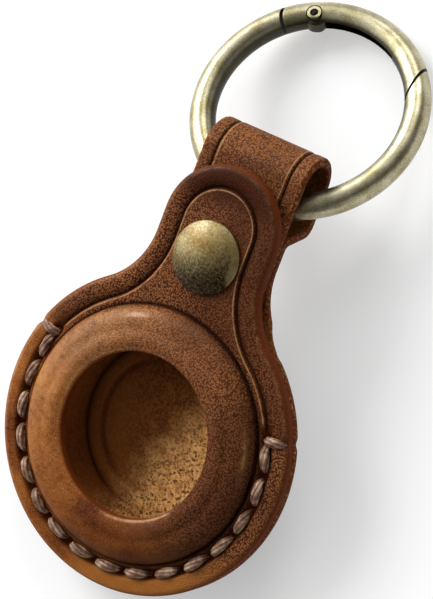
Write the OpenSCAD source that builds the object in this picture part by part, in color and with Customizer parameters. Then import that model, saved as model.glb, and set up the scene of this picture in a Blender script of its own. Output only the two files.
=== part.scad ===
// Leather holder for a round tracker tag, with a snap flap and a spring gate ring.
// Laid out flat first: +X to the right, +Y from the pocket towards the ring, +Z out of
// the front, zero at the pocket's centre on the face of the front rim. The whole is then
// set down so that the moulded back and the far side of the ring both touch the ground.

/* [Tag] */
// Diameter of the tracker tag that the pocket is made for
tag_d = 31.9; // [28:0.1:36]
// Thickness of that tag
tag_h = 8; // [6:0.1:10]
// Play between the tag and the pocket wall, all round
tag_play = 0.25; // [0.1:0.05:0.5]
// Play over the tag's thickness
tag_play_h = 0.1; // [0.05:0.05:0.4]

/* [Front leather] */
// Thickness of the front leather
front_t = 2.2; // [2:0.1:3]
// Height of the dome over the flat rim
dome_h = 2.7; // [2.2:0.1:3.6]
// Leather left over the tag at the lip of the window
dome_skin = 1.8; // [1.2:0.1:2]
// Distance from the pocket wall to the foot of the dome
dome_wall = 3; // [2.4:0.1:4]
// Width of the dome's rounded shoulder
shoulder_w = 2.6; // [1.5:0.1:3.5]
// Rise of the dome from its shoulder to the window
crown_h = 0.3; // [0.1:0.1:0.8]
// Inner radius where the pocket wall meets the dome
dome_inner_r = 1.2; // [0.5:0.1:1.8]
// Width of the lip that holds the tag in
lip_w = 3.9; // [2.5:0.1:6]
// Width of the flat rim round the dome
rim_w = 4.8; // [4.2:0.1:7]
// Width of the neck and the tab
neck_w = 18.8; // [17:0.2:24]
// Radius between the disc and the neck
neck_round = 12; // [8:0.5:16]
// Distance from the snap's centre to the tab's end
tab_reach = 13.8; // [11:0.2:16]
// Height of the flap's fold line above the pocket's centre
flap_line = 9.4; // [8:0.1:11]
// Gap along the fold line and under the closed flap
flap_gap = 0.1; // [0.05:0.05:0.2]
// Height of the flap's turning line over the dome
flap_axis_rise = 0.2; // [0.1:0.1:0.5]

/* [Back leather] */
// Thickness of the back leather
back_t = 1.5; // [1.2:0.1:1.8]
// Outer radius of the moulded back's bottom corner
dish_round = 3.6; // [2.6:0.1:5]
// Width of the strap that makes the ring loop
strap_w = 17.2; // [14:0.2:18]
// Centre line radius of the strap's two bends
bend_r = 1.5; // [1.2:0.1:1.6]
// Length over which the strap steps back behind the snap
near_step = 4.3; // [3.8:0.1:5.5]
// Length over which the strap steps back behind the ring
far_step = 4.1; // [3.9:0.1:6]
// Distance from the ring's turning line to the centre of the fold
loop_slack = 3.5; // [2.6:0.1:5]
// Strap left past the stud at the folded end
fold_margin = 1.4; // [0.8:0.1:2]
// Gap between the two layers of strap
layer_gap = 0.05; // [0.02:0.01:0.1]

/* [Stitching] */
// Distance from the disc's edge to the stitch line
stitch_inset = 3.25; // [2.6:0.05:3.5]
// Number of stitches round the pocket
stitch_count = 16; // [12:1:20]
// Diameter of the thread
thread_d = 1; // [0.7:0.1:1.2]
// Clearance of the thread in its holes
thread_play = 0.05; // [0.02:0.01:0.1]
// Radius of the groove that the stitches lie in
groove_r = 0.75; // [0.65:0.05:0.85]
// Height of the groove's centre over the leather
groove_rise = 0.15; // [0.05:0.05:0.25]
// Distance from the fold line to the end stitches
end_drop = 1.5; // [1.2:0.1:2.5]

/* [Snap] */
// Distance from the disc's edge to the snap's centre
snap_reach = 4.2; // [3.8:0.1:6]
// Distance between the flap and the strap at the snap
snap_gap = 0.9; // [0.8:0.1:1.4]
// Diameter of the cap
cap_d = 10.9; // [9:0.1:12.5]
// Height of the cap over the leather
cap_h = 2.1; // [1.4:0.1:2.8]
// Height of the cap's rolled rim
cap_rim_h = 0.6; // [0.3:0.1:0.9]
// Diameter of the cap's hollow shank
shank_d = 2.6; // [2.2:0.1:3]
// Width of the shank's flared end
flare_w = 0.5; // [0.3:0.1:0.7]
// Thickness of the shank's flared end
flare_t = 0.2; // [0.1:0.05:0.3]
// Diameter of the socket
socket_d = 8.2; // [7:0.1:9]
// Depth that the socket is pressed into the flap
socket_seat = 0.7; // [0.5:0.1:0.9]
// Thickness of the socket's plate
plate_t = 0.3; // [0.2:0.05:0.4]
// Diameter of the stud's head
stud_d = 3.6; // [3.2:0.1:4]
// Gap between the stud and the flared shank
stud_gap = 0.15; // [0.1:0.05:0.2]
// Diameter of the stud's neck
stud_neck_d = 3.1; // [2.8:0.1:3.3]
// Clearance of the stud in the socket, all round
stud_play = 0.55; // [0.4:0.05:0.7]
// Diameter of the stud's base
base_d = 8.4; // [7:0.1:9]
// Thickness of the stud's base
base_t = 0.3; // [0.2:0.05:0.4]
// Diameter of the post's flange at the back
post_flange_d = 7.8; // [7.5:0.1:9.6]
// Thickness of the post's flange
post_flange_t = 0.5; // [0.3:0.1:0.8]
// Depth that the post's flange is pressed into the strap
post_seat = 0.2; // [0.1:0.05:0.3]
// Diameter of the post
post_d = 2.4; // [2:0.1:2.6]
// Diameter of the post's hole
post_bore_d = 1.4; // [0.8:0.1:1.6]
// Clearance round the shank and the post
shank_play = 0.05; // [0.02:0.01:0.1]
// Diameter of the wire of the spring in the socket
catch_wire_d = 0.44; // [0.3:0.02:0.5]

/* [Ring] */
// Diameter of the ring at the centre of its wire
ring_d = 32.6; // [28:0.2:36]
// Diameter of the ring's wire
wire_d = 4; // [3.6:0.1:4.8]
// Angle that the ring leans back from the holder, at rest
ring_back = 28; // [15:1:40]
// Angle that the ring swings from straight, each way
swing_limit = 60; // [45:1:70]
// Clearance of the wire in the loop
loop_play = 0.1; // [0.05:0.05:0.3]
// Angle of the gate's pin round the ring
pin_turn = 117; // [110:1:130]
// Distance of the pin from the wire's centre line, inwards
pin_inset = 0.7; // [0.2:0.1:0.8]
// Angle round the ring where the gate ends
gate_end = 38; // [30:1:50]
// Angle of the gate's end cut from straight across
gate_skew = 48; // [20:1:52]
// Gap between the closed gate's slanted end and the ring
gate_gap = 0.35; // [0.1:0.05:0.5]
// Distance from the pin to the gate's short end
tail_l = 4.9; // [4:0.1:6]
// Gap between the gate's short end and the ring
tail_gap = 0.45; // [0.1:0.05:0.6]
// Thickness of the ring's tongue inside the gate
tongue_t = 1.7; // [1.4:0.1:1.8]
// Clearance of the tongue in the gate
tongue_play = 0.05; // [0.03:0.01:0.1]
// Radius of the tongue's round end
tongue_r = 1.8; // [1.7:0.1:2]
// Radius of the knuckle round the pin
knuckle_r = 1.9; // [1.8:0.1:2.2]
// Height of the knuckle, which is also the width of its round rim
knuckle_h = 2.6; // [2.4:0.1:3]
// Diameter of the pin
pin_d = 1.8; // [1.6:0.1:1.9]
// Diameter of the hole through the pin
pin_bore_d = 1.3; // [0.8:0.1:1.4]
// Diameter of the pin's heads
pin_head_d = 2.2; // [2.1:0.1:2.4]
// Thickness of the pin's heads
pin_head_t = 0.7; // [0.4:0.05:0.8]
// Clearance of the pin in the gate and of its heads over it
pin_play = 0.04; // [0.02:0.01:0.08]
// Clearance round the pin's heads
head_play = 0.14; // [0.08:0.02:0.2]
// Width of the spring's channel in the gate
channel_w = 1.7; // [1.3:0.1:1.7]
// Depth of the channel, from the inside of the ring
channel_depth = 2.6; // [2:0.1:3]
// Angle from the pin to the channel's far end
channel_turn = 57; // [40:1:65]
// Thickness of the leaf spring
leaf_t = 0.25; // [0.15:0.05:0.35]
// Clearance of the leaf spring in its channel
leaf_play = 0.15; // [0.1:0.05:0.2]

/* [Hidden] */
$fn = 64;
overrun = 1;
arc_steps = 10;
fold_steps = 24;

// Pocket
cavity_r = tag_d / 2 + tag_play;
window_r = cavity_r - lip_w;
dome_r = cavity_r + dome_wall;
disc_r = dome_r + rim_w;
skin_z = dome_h - dome_skin;
floor_z = skin_z - tag_h - tag_play_h;
bottom_z = floor_z - back_t;
dish_r = cavity_r + back_t;

// Snap stack, from the flap's face down
snap_y = disc_r + snap_reach;
strap_face = -front_t - snap_gap;
socket_top = socket_seat - front_t;
flare_z = socket_top - plate_t;
socket_foot = strap_face + flap_gap;
stud_top = flare_z - flare_t - stud_gap;
socket_r = stud_d / 2 + stud_play;
catch_r = socket_r + catch_wire_d;
post_top = stud_top - base_t;

// Layers of the strap, as the height of each centre line
rim_mid = -front_t - back_t / 2;
end_mid = strap_face - back_t / 2;
inner_mid = end_mid - back_t - layer_gap;
strap_back = inner_mid - back_t / 2;

// Loop round the ring: the wire's bow inside the strap is balanced about the turning line
ring_r = ring_d / 2;
wire_r = wire_d / 2;
bow_turn = asin(strap_w / ring_d);
bow = ring_r * (1 - cos(bow_turn));
wire_side = norm([wire_r / cos(bow_turn) * sin(swing_limit), wire_r * cos(swing_limit)]);
bow_mid = (bow * sin(swing_limit) + wire_side - wire_r) / (2 * sin(swing_limit));
loop_gap = 2 * (bow_mid * sin(swing_limit) + wire_r + loop_play);
loop_r = (loop_gap + back_t) / 2;
loop_z = end_mid - loop_r;
post_margin = 0.6;
wire_set = 1.14;
near_end = snap_y - base_d / 2 - fold_margin;
near_start = near_end - near_step;
far_start = snap_y + post_flange_d / 2 + post_margin;
far_end = far_start + far_step;
swing_y = far_end - wire_set + bow_mid + wire_r;
fold_y = swing_y + loop_slack;

// Ring, and the angle at which the whole lies on the ground
ring_y = swing_y + (ring_r - bow_mid) * cos(ring_back);
ring_z = loop_z - (ring_r - bow_mid) * sin(ring_back);
far_y = ring_y + ring_r * cos(ring_back);
far_z = ring_z - ring_r * sin(ring_back);
dish_edge = dish_r - dish_round;
stand_run = far_y + dish_edge;
stand_drop = far_z - bottom_z - dish_round;
lean = asin((wire_r - dish_round) / norm([stand_run, stand_drop])) - atan2(stand_drop, stand_run);
ground = -dish_edge * sin(lean) + (bottom_z + dish_round) * cos(lean) - dish_round;
mid_y = (far_y * cos(lean) - far_z * sin(lean) + wire_r - disc_r * cos(lean)) / 2;

// Stitches
stitch_r = disc_r - stitch_inset;
thread_r = thread_d / 2;
end_y = flap_line - end_drop;
end_turn = asin(end_y / stitch_r);
stitch_turn = (180 + 2 * end_turn) / stitch_count;
corner_share = 1.12;
front_thread_z = thread_play;
back_thread_z = -front_t - back_t - thread_play;
wrap_x = sqrt(pow(disc_r, 2) - pow(end_y, 2)) + thread_r + thread_play;

// Ring details
pin_r = ring_r - pin_inset;
slot_h = tongue_t + 2 * tongue_play;
slot_margin = 0.25;
slot_lead = 0.3;
cut_size = 3 * wire_d;
cut_lead = 12;
tail_turn = 3 * asin(tail_l / ring_d);
leaf_w = channel_w - 2 * leaf_play;
leaf_bow = 1;

// Points of an arc about c from angle a to angle b
function arc(c, r, a, b, n) = [for (i = [0:n]) c + r * [cos(a + (b - a) * i / n), sin(a + (b - a) * i / n)]];

// Step down from p to q: two bends of radius r with a straight between them
function step_turn(p, q, r) =
    let (d = [q.x - p.x, p.y - q.y - 2 * r])
    atan2(d.y, d.x) + asin(2 * r / norm(d));
function step_down(p, q, r) =
    let (a = step_turn(p, q, r))
    concat(arc(p - [0, r], r, 90, 90 - a, arc_steps), arc(q + [0, r], r, 270 - a, 270, arc_steps));

// Closed outline of a strip of thickness t along a line of points
function side_of(p, i) =
    let (d = p[min(i + 1, len(p) - 1)] - p[max(i - 1, 0)])
    [-d.y, d.x] / norm(d);
function strip(p, t) =
    concat([for (i = [0:len(p) - 1]) p[i] + side_of(p, i) * t / 2],
           [for (i = [len(p) - 1:-1:0]) p[i] - side_of(p, i) * t / 2]);

// Side view of the back leather: rim, step behind the snap, step behind the ring, fold, end
back_line = concat(
    [[-disc_r - overrun, rim_mid]],
    step_down([near_start, rim_mid], [near_end, inner_mid], bend_r),
    step_down([far_start, inner_mid], [far_end, loop_z - loop_r], bend_r),
    arc([fold_y, loop_z], loop_r, -90, 90, fold_steps),
    [[near_end, end_mid]]);

// Sections to spin, as radius and height
dome_section = concat(
    [[cavity_r, -front_t], [dome_r, -front_t]],
    [for (i = [0:arc_steps]) let (a = 90 * i / arc_steps)
        [dome_r - shoulder_w * (1 - cos(a)), (dome_h - crown_h) * sin(a)]],
    [[window_r, dome_h], [window_r, skin_z]],
    arc([cavity_r - dome_inner_r, skin_z - dome_inner_r], dome_inner_r, 90, 0, arc_steps));
dish_section = concat(
    [[0, bottom_z]],
    arc([dish_r - dish_round, bottom_z + dish_round], dish_round, -90, 0, arc_steps),
    [[dish_r, rim_mid], [0, rim_mid]]);
cavity_section = concat(
    [[0, floor_z]],
    arc([dish_r - dish_round, bottom_z + dish_round], dish_round - back_t, -90, 0, arc_steps),
    [[cavity_r, overrun], [0, overrun]]);

// Sets the flat holder down on the ground, centred over the origin
module set_down() {
    translate([0, -mid_y, -ground]) rotate([lean, 0, 0]) children();
}

// Puts what is drawn about the snap's axis at the snap
module at_snap() {
    set_down() translate([0, snap_y, 0]) children();
}

// Puts what is drawn flat about the ring's centre at the ring
module at_ring() {
    set_down() translate([0, ring_y, ring_z]) rotate([-ring_back, 0, 0]) children();
}

// Puts what is drawn about the pin's axis at the pin, with +X towards the gate's short end
module at_pin() {
    rotate(pin_turn) translate([pin_r, 0, 0]) rotate(90) children();
}

// A disc with a neck of width w and a round of radius r between them
module disc_and_neck(w, reach, r, t) {
    middle = [w / 2 + r, sqrt(pow(disc_r + r, 2) - pow(w / 2 + r, 2))];
    cylinder(h = t, r = disc_r, $fn = 4 * $fn);
    translate([-w / 2, 0, 0]) cube([w, reach, t]);
    for (side = [0, 1]) mirror([side, 0, 0]) difference() {
        linear_extrude(t) polygon([[0, 0], middle, [0, middle.y]]);
        translate([middle.x, middle.y, -overrun]) cylinder(h = t + 2 * overrun, r = r, $fn = 4 * $fn);
    }
}

// Holes for the thread, through both leathers
module thread_holes() {
    for (i = [0:stitch_count]) rotate(end_turn - i * stitch_turn)
        translate([stitch_r, 0, back_thread_z - overrun])
            cylinder(h = front_thread_z - back_thread_z + 2 * overrun, r = thread_r + thread_play, $fn = 24);
}

// Groove along the stitch line and out to the edge at its ends, centred at height z
module stitch_groove(z) {
    translate([0, 0, z]) {
        rotate(180 - end_turn) rotate_extrude(angle = 180 + 2 * end_turn)
            translate([stitch_r, 0]) circle(r = groove_r, $fn = 24);
        for (side = [0, 1]) mirror([side, 0, 0]) translate([stitch_r * cos(end_turn), end_y, 0])
            rotate([0, 90, 0]) cylinder(h = wrap_x - stitch_r * cos(end_turn), r = groove_r, $fn = 24);
    }
}

// Whole front leather, before it is parted along the fold line
module front_leather() {
    difference() {
        union() {
            translate([0, 0, -front_t]) difference() {
                union() {
                    disc_and_neck(neck_w, snap_y + tab_reach - neck_w / 2, neck_round, front_t);
                    translate([0, snap_y + tab_reach - neck_w / 2, 0])
                        cylinder(h = front_t, d = neck_w, $fn = 2 * $fn);
                }
                translate([0, 0, -overrun]) cylinder(h = front_t + 2 * overrun, r = cavity_r + dome_wall / 2);
            }
            rotate_extrude($fn = 4 * $fn) polygon(dome_section);
        }
        stitch_groove(groove_rise);
        thread_holes();
    }
}

// Half of space beyond the fold line, on the neck's side or the pocket's
module past_fold(side) {
    reach = 2 * (snap_y + tab_reach);
    translate([-reach / 2, side > 0 ? flap_line + flap_gap / 2 : flap_line - flap_gap / 2 - reach, -reach / 2])
        cube([reach, reach, reach]);
}

module front_pocket() {
    color("saddlebrown") set_down() intersection() {
        front_leather();
        past_fold(-1);
    }
}

module front_flap() {
    color("sienna") set_down() difference() {
        intersection() {
            front_leather();
            past_fold(1);
        }
        translate([0, 0, -front_t - overrun]) cylinder(h = overrun + flap_gap, r = 2 * snap_y);
        translate([0, snap_y, -front_t - overrun]) {
            cylinder(h = socket_seat + overrun, d = socket_d + 2 * shank_play);
            cylinder(h = front_t + 2 * overrun, d = shank_d + 2 * shank_play);
        }
    }
}

module back_panel() {
    color("peru") set_down() difference() {
        union() {
            intersection() {
                translate([0, 0, loop_z - 2 * loop_r])
                    disc_and_neck(strap_w, fold_y + loop_r + back_t, neck_round, 2 * loop_r - loop_z);
                rotate([90, 0, 90]) linear_extrude(2 * disc_r + 2 * overrun, center = true)
                    polygon(strip(back_line, back_t));
            }
            rotate_extrude($fn = 4 * $fn) polygon(dish_section);
        }
        rotate_extrude($fn = 4 * $fn) polygon(cavity_section);
        stitch_groove(-front_t - back_t - groove_rise);
        thread_holes();
        translate([0, snap_y, strap_back - overrun]) {
            cylinder(h = strap_face - strap_back + 2 * overrun, d = post_d + 2 * shank_play);
            cylinder(h = post_seat + overrun, d = post_flange_d + 2 * shank_play);
        }
        translate([0, snap_y, strap_face - base_t]) cylinder(h = base_t + overrun, d = base_d + 2 * shank_play);
    }
}

// One stitch of the seam at height z, after hole i
module stitch(i, z) {
    length = 2 * stitch_r * sin(stitch_turn / 2);
    rotate(end_turn - (i + 0.5) * stitch_turn)
        translate([stitch_r * cos(stitch_turn / 2), length / 2, z])
            rotate([90, 0, 0]) cylinder(h = length, r = thread_r, $fn = 24);
}

// Thread from a hole at p up or down to height z
module thread_corner(p, z) {
    translate([p.x, p.y, z]) sphere(r = thread_r * corner_share, $fn = 24);
}

module seam_thread() {
    color("darkgray") set_down() union() {
        for (i = [0:stitch_count]) let (a = end_turn - i * stitch_turn, p = stitch_r * [cos(a), sin(a)]) {
            translate([p.x, p.y, back_thread_z])
                cylinder(h = front_thread_z - back_thread_z, r = thread_r, $fn = 24);
            for (z = [front_thread_z, back_thread_z]) thread_corner(p, z);
        }
        for (i = [0:stitch_count - 1], z = [front_thread_z, back_thread_z]) stitch(i, z);
        for (side = [0, 1]) mirror([side, 0, 0]) {
            translate([wrap_x, end_y, back_thread_z])
                cylinder(h = front_thread_z - back_thread_z, r = thread_r, $fn = 24);
            for (z = [front_thread_z, back_thread_z]) {
                thread_corner([wrap_x, end_y], z);
                translate([stitch_r * cos(end_turn), end_y, z]) rotate([0, 90, 0])
                    cylinder(h = wrap_x - stitch_r * cos(end_turn), r = thread_r, $fn = 24);
            }
        }
    }
}

// Section of the cap: shank, flared end, flat underside, rolled rim and dome in one line
module snap_cap() {
    rim_r = cap_rim_h / 2;
    shank_r = shank_d / 2;
    rim_at = [cap_d / 2 - rim_r, rim_r];
    rise = cap_h - rim_r;
    ball_r = (pow(rim_at.x, 2) + pow(rise, 2) - pow(rim_r, 2)) / (2 * (rise - rim_r));
    meet = atan2(ball_r - rise, rim_at.x);
    color("darkkhaki") at_snap() rotate_extrude($fn = 2 * $fn) polygon(concat(
        [[0, flare_z - flare_t], [shank_r + flare_w, flare_z - flare_t], [shank_r + flare_w, flare_z]],
        [[shank_r, flare_z], [shank_r, 0]],
        arc(rim_at, rim_r, -90, meet, arc_steps),
        arc([0, cap_h - ball_r], ball_r, meet, 90, arc_steps)));
}

module snap_socket() {
    groove_h = catch_wire_d + 2 * shank_play;
    color("goldenrod") at_snap() difference() {
        translate([0, 0, socket_foot]) cylinder(h = socket_top - socket_foot, d = socket_d);
        translate([0, 0, socket_foot - overrun]) cylinder(h = flare_z - socket_foot + overrun, r = socket_r);
        translate([0, 0, socket_foot]) cylinder(h = socket_top - socket_foot + overrun, d = shank_d + 2 * shank_play);
        translate([0, 0, (flare_z - flare_t + socket_foot - groove_h) / 2])
            cylinder(h = groove_h, r = catch_r + catch_wire_d);
    }
}

module socket_spring() {
    gap_turn = 40;
    color("silver") at_snap() translate([0, 0, (flare_z - flare_t + socket_foot) / 2])
        rotate(gap_turn / 2) rotate_extrude(angle = 360 - gap_turn)
            translate([catch_r, 0]) circle(d = catch_wire_d, $fn = 16);
}

module snap_stud() {
    head_h = (stud_top - strap_face) / 2;
    color("goldenrod") at_snap() difference() {
        union() {
            translate([0, 0, strap_face - base_t]) cylinder(h = base_t, d = base_d);
            translate([0, 0, strap_face - base_t / 2]) cylinder(h = stud_top - strap_face, d = stud_neck_d);
            translate([0, 0, stud_top - head_h]) cylinder(h = head_h, d1 = stud_neck_d, d2 = stud_d);
        }
        translate([0, 0, strap_face - base_t - overrun])
            cylinder(h = post_top - strap_face + base_t + overrun, d = post_d + 2 * shank_play);
    }
}

module stud_post() {
    flange_top = strap_back + post_seat;
    color("darkgoldenrod") at_snap() difference() {
        union() {
            translate([0, 0, flange_top - post_flange_t]) cylinder(h = post_flange_t, d = post_flange_d);
            translate([0, 0, flange_top - post_flange_t / 2])
                cylinder(h = post_top - shank_play - flange_top + post_flange_t / 2, d = post_d);
        }
        translate([0, 0, flange_top - post_flange_t - overrun])
            cylinder(h = post_top - flange_top + post_flange_t, d = post_bore_d);
    }
}

// Part of the ring's wire from angle a to angle b
module wire(a, b) {
    rotate(a) rotate_extrude(angle = b - a, $fn = 4 * $fn) translate([ring_r, 0]) circle(r = wire_r);
}

// Block that trims the wire at the gate's end, on the ring's side or the gate's
module end_block(side) {
    rotate(gate_end) translate([ring_r, 0, 0]) rotate(gate_skew)
        translate([-cut_size / 2, side > 0 ? -gate_gap / 2 : gate_gap / 2 - cut_size, -cut_size / 2])
            cube([cut_size, cut_size, cut_size]);
}

// Half of the knuckle's side view: a flat middle with a round rim
module knuckle_side() {
    intersection() {
        translate([knuckle_r - knuckle_h / 2, 0]) circle(d = knuckle_h);
        translate([0, -knuckle_h / 2]) square([knuckle_r, knuckle_h]);
    }
}

module ring_body() {
    color("tan") at_ring() {
        difference() {
            wire(pin_turn, 360 + gate_end + cut_lead);
            end_block(1);
            at_pin() translate([0, 0, -wire_d]) cylinder(h = 2 * wire_d, r = tail_l + tail_gap);
        }
        difference() {
            union() {
                intersection() {
                    wire(pin_turn, pin_turn + tail_turn);
                    translate([0, 0, -tongue_t / 2]) cylinder(h = tongue_t, d = ring_d + 2 * wire_d);
                }
                at_pin() translate([0, 0, -tongue_t / 2]) cylinder(h = tongue_t, r = tongue_r);
            }
            at_pin() translate([0, 0, -tongue_t]) cylinder(h = 2 * tongue_t, d = pin_d + pin_play);
        }
    }
}

module ring_gate() {
    head_seat = wire_r - pin_head_t - pin_play;
    channel_floor = ring_r - wire_r + channel_depth;
    color("burlywood") at_ring() difference() {
        union() {
            intersection() {
                wire(gate_end - cut_lead, pin_turn + tail_turn);
                union() {
                    at_pin() translate([0, 0, -wire_d]) cylinder(h = 2 * wire_d, r = tail_l);
                    rotate(gate_end - cut_lead) rotate_extrude(angle = pin_turn - gate_end + cut_lead)
                        translate([0, -wire_d]) square([ring_d, 2 * wire_d]);
                }
            }
            at_pin() rotate_extrude() knuckle_side();
        }
        end_block(-1);
        at_pin() {
            translate([0, 0, -slot_h / 2]) cylinder(h = slot_h, r = tongue_r + slot_margin);
            translate([-slot_lead, -cut_size, -slot_h / 2]) cube([cut_size, 2 * cut_size, slot_h]);
            translate([0, 0, -wire_d]) cylinder(h = 2 * wire_d, d = pin_d + 2 * pin_play);
            for (side = [0, 1]) mirror([0, 0, side]) translate([0, 0, head_seat])
                cylinder(h = wire_d, d = pin_head_d + 2 * head_play);
        }
        rotate(pin_turn - channel_turn) rotate_extrude(angle = channel_turn)
            translate([ring_r - wire_d, -channel_w / 2]) square([channel_floor - ring_r + wire_d, channel_w]);
    }
}

module gate_pin() {
    color("gold") at_ring() at_pin() difference() {
        union() {
            translate([0, 0, -wire_r]) cylinder(h = wire_d, d = pin_d);
            for (side = [0, 1]) mirror([0, 0, side]) translate([0, 0, wire_r - pin_head_t])
                cylinder(h = pin_head_t, d = pin_head_d);
        }
        translate([0, 0, -wire_d]) cylinder(h = 2 * wire_d, d = pin_bore_d);
    }
}

module gate_spring() {
    channel_floor = ring_r - wire_r + channel_depth;
    lead = asin((tongue_r + slot_margin + leaf_play) / ring_r);
    turn = channel_turn - lead - asin(leaf_play / ring_r);
    leaf_line = [for (i = [0:fold_steps]) let (a = pin_turn - lead - turn * i / fold_steps)
        (channel_floor - leaf_play - leaf_t / 2 - leaf_bow * pow(cos(90 * i / fold_steps), 2)) * [cos(a), sin(a)]];
    color("silver") at_ring() translate([0, 0, -leaf_w / 2])
        linear_extrude(leaf_w) polygon(strip(leaf_line, leaf_t));
}

front_pocket();
front_flap();
back_panel();
seam_thread();
snap_cap();
snap_socket();
socket_spring();
snap_stud();
stud_post();
ring_body();
ring_gate();
gate_pin();
gate_spring();
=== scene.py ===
"""Leather holder for a round tracker tag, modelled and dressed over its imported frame.

Lengths in the pieces are millimetres in the flat holder's own axes: +X to the right, +Y from
the pocket towards the ring, +Z out of the front, zero at the pocket's centre on the front rim.
A Seat turns them into metres in the row frame.
"""

import logging
import math
from bisect import bisect_right
from collections.abc import Callable, Sequence
from dataclasses import dataclass, field
from enum import Enum
from functools import cached_property
from typing import Any

import bmesh
import bpy
from mathutils import Matrix, Vector, noise


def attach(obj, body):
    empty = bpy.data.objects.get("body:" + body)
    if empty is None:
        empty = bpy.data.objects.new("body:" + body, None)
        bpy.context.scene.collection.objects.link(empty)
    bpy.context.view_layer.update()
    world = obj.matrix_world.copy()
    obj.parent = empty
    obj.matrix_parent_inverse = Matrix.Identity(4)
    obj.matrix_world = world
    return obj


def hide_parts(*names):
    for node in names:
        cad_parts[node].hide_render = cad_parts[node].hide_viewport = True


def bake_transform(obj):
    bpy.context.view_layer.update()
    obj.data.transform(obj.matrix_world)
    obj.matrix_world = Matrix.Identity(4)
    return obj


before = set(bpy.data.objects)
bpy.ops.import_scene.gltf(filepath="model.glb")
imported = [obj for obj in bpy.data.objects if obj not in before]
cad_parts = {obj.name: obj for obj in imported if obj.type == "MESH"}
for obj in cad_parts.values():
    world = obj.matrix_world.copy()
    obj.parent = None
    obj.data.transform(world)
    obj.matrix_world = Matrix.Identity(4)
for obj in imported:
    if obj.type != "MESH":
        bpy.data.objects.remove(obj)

log = logging.getLogger("tag_holder")

Colour = tuple[float, float, float]
Chain = list[tuple[float, float]]
Rows = tuple[tuple[float, int], ...]

# Millimetres in a metre.
MILLIMETRES = 1000

# Numbers of a colour Mix node's sockets.
FACTOR, COLOUR_A, COLOUR_B, COLOUR_OUT = 0, 6, 7, 2

ORIGIN = Vector((0, 0, 0))

# How far apart points may be and still count as one, as level, or as on a circle.
SAME_POINT = 1e-4
SAME_HEIGHT = 1e-3
ON_CIRCLE = 0.01


class Mask(Enum):
    """What a mesh paints on its points for its finish."""

    EDGE = "edge"
    # Pressed in and dark, with painted shade in grooves and stitch holes.
    PRESS = "press"
    FLESH = "flesh"
    # Painted light, highlights and sheen, and rubbed wear.
    PAINTED_LIGHT_AND_RUB = "rub"
    PLY = "ply"


def tone(red: int, green: int, blue: int) -> Colour:
    """Turns a colour as a picture stores it into the linear one that shaders take.

    Args:
        red: Red, 0 to 255.
        green: Green, 0 to 255.
        blue: Blue, 0 to 255.

    Returns:
        The linear colour.
    """
    return tuple(
        c / 12.92 / 255 if c < 11 else ((c / 255 + 0.055) / 1.055) ** 2.4
        for c in (red, green, blue)
    )


def ease(low: float, high: float, x: float) -> float:
    """Rises smoothly from 0 at low to 1 at high."""
    t = min(1.0, max(0.0, (x - low) / (high - low)))
    return t * t * (3 - 2 * t)


def bell(x: float, width: float) -> float:
    """A smooth bump of height 1 round zero, down to a third at width."""
    return math.exp(-((x / width) ** 2))


def arc(centre: tuple[float, float], radius: float, start: float, end: float, steps: int) -> Chain:
    """Points of an arc from one angle to another, in degrees, in a number of steps."""
    turns = [math.radians(start + (end - start) * i / steps) for i in range(steps + 1)]
    return [(centre[0] + radius * math.cos(a), centre[1] + radius * math.sin(a)) for a in turns]


@dataclass(frozen=True)
class Seat:
    """How the flat holder lies in the row frame, and how the ring hangs in its loop.

    Lengths are in millimetres and turns in degrees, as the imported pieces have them.
    """

    lean: float = 11.0924
    mid_y: float = 24.0745
    ground: float = -11.3175
    ring_y: float = 52.2139
    ring_z: float = -14.9009
    ring_back: float = 28.0
    ring_r: float = 16.3
    pin_turn: float = 117.0
    pin_r: float = 15.6
    gate_end: float = 38.0
    gate_skew: float = 48.0
    channel_in: float = 14.52
    channel_out: float = 16.9
    snap_y: float = 28.2

    @property
    def holder(self) -> Matrix:
        """From the flat holder to the row frame.

        Returns:
            The matrix.
        """
        return (
            Matrix.Scale(0.001, 4)
            @ Matrix.Translation((0, -self.mid_y, -self.ground))
            @ Matrix.Rotation(math.radians(self.lean), 4, "X")
        )

    @property
    def snap(self) -> Matrix:
        """From the snap's axis to the row frame."""
        return self.holder @ Matrix.Translation((0, self.snap_y, 0))

    @property
    def ring(self) -> Matrix:
        """From the ring's own plane to the row frame.

        Returns:
            The matrix.
        """
        return (
            self.holder
            @ Matrix.Translation((0, self.ring_y, self.ring_z))
            @ Matrix.Rotation(math.radians(-self.ring_back), 4, "X")
        )

    @property
    def latch(self) -> Matrix:
        """From the slanted cut at the gate's free end, square to +Y, to the row frame.

        Returns:
            The matrix.
        """
        return (
            self.ring
            @ Matrix.Rotation(math.radians(self.gate_end), 4, "Z")
            @ Matrix.Translation((self.ring_r, 0, 0))
            @ Matrix.Rotation(math.radians(self.gate_skew), 4, "Z")
        )

    @property
    def pin(self) -> Matrix:
        """From the gate pin's axis, with +X towards the gate's short end, to the row frame.

        Returns:
            The matrix.
        """
        return (
            self.ring
            @ Matrix.Rotation(math.radians(self.pin_turn), 4, "Z")
            @ Matrix.Translation((self.pin_r, 0, 0))
            @ Matrix.Rotation(math.radians(90), 4, "Z")
        )


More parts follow.
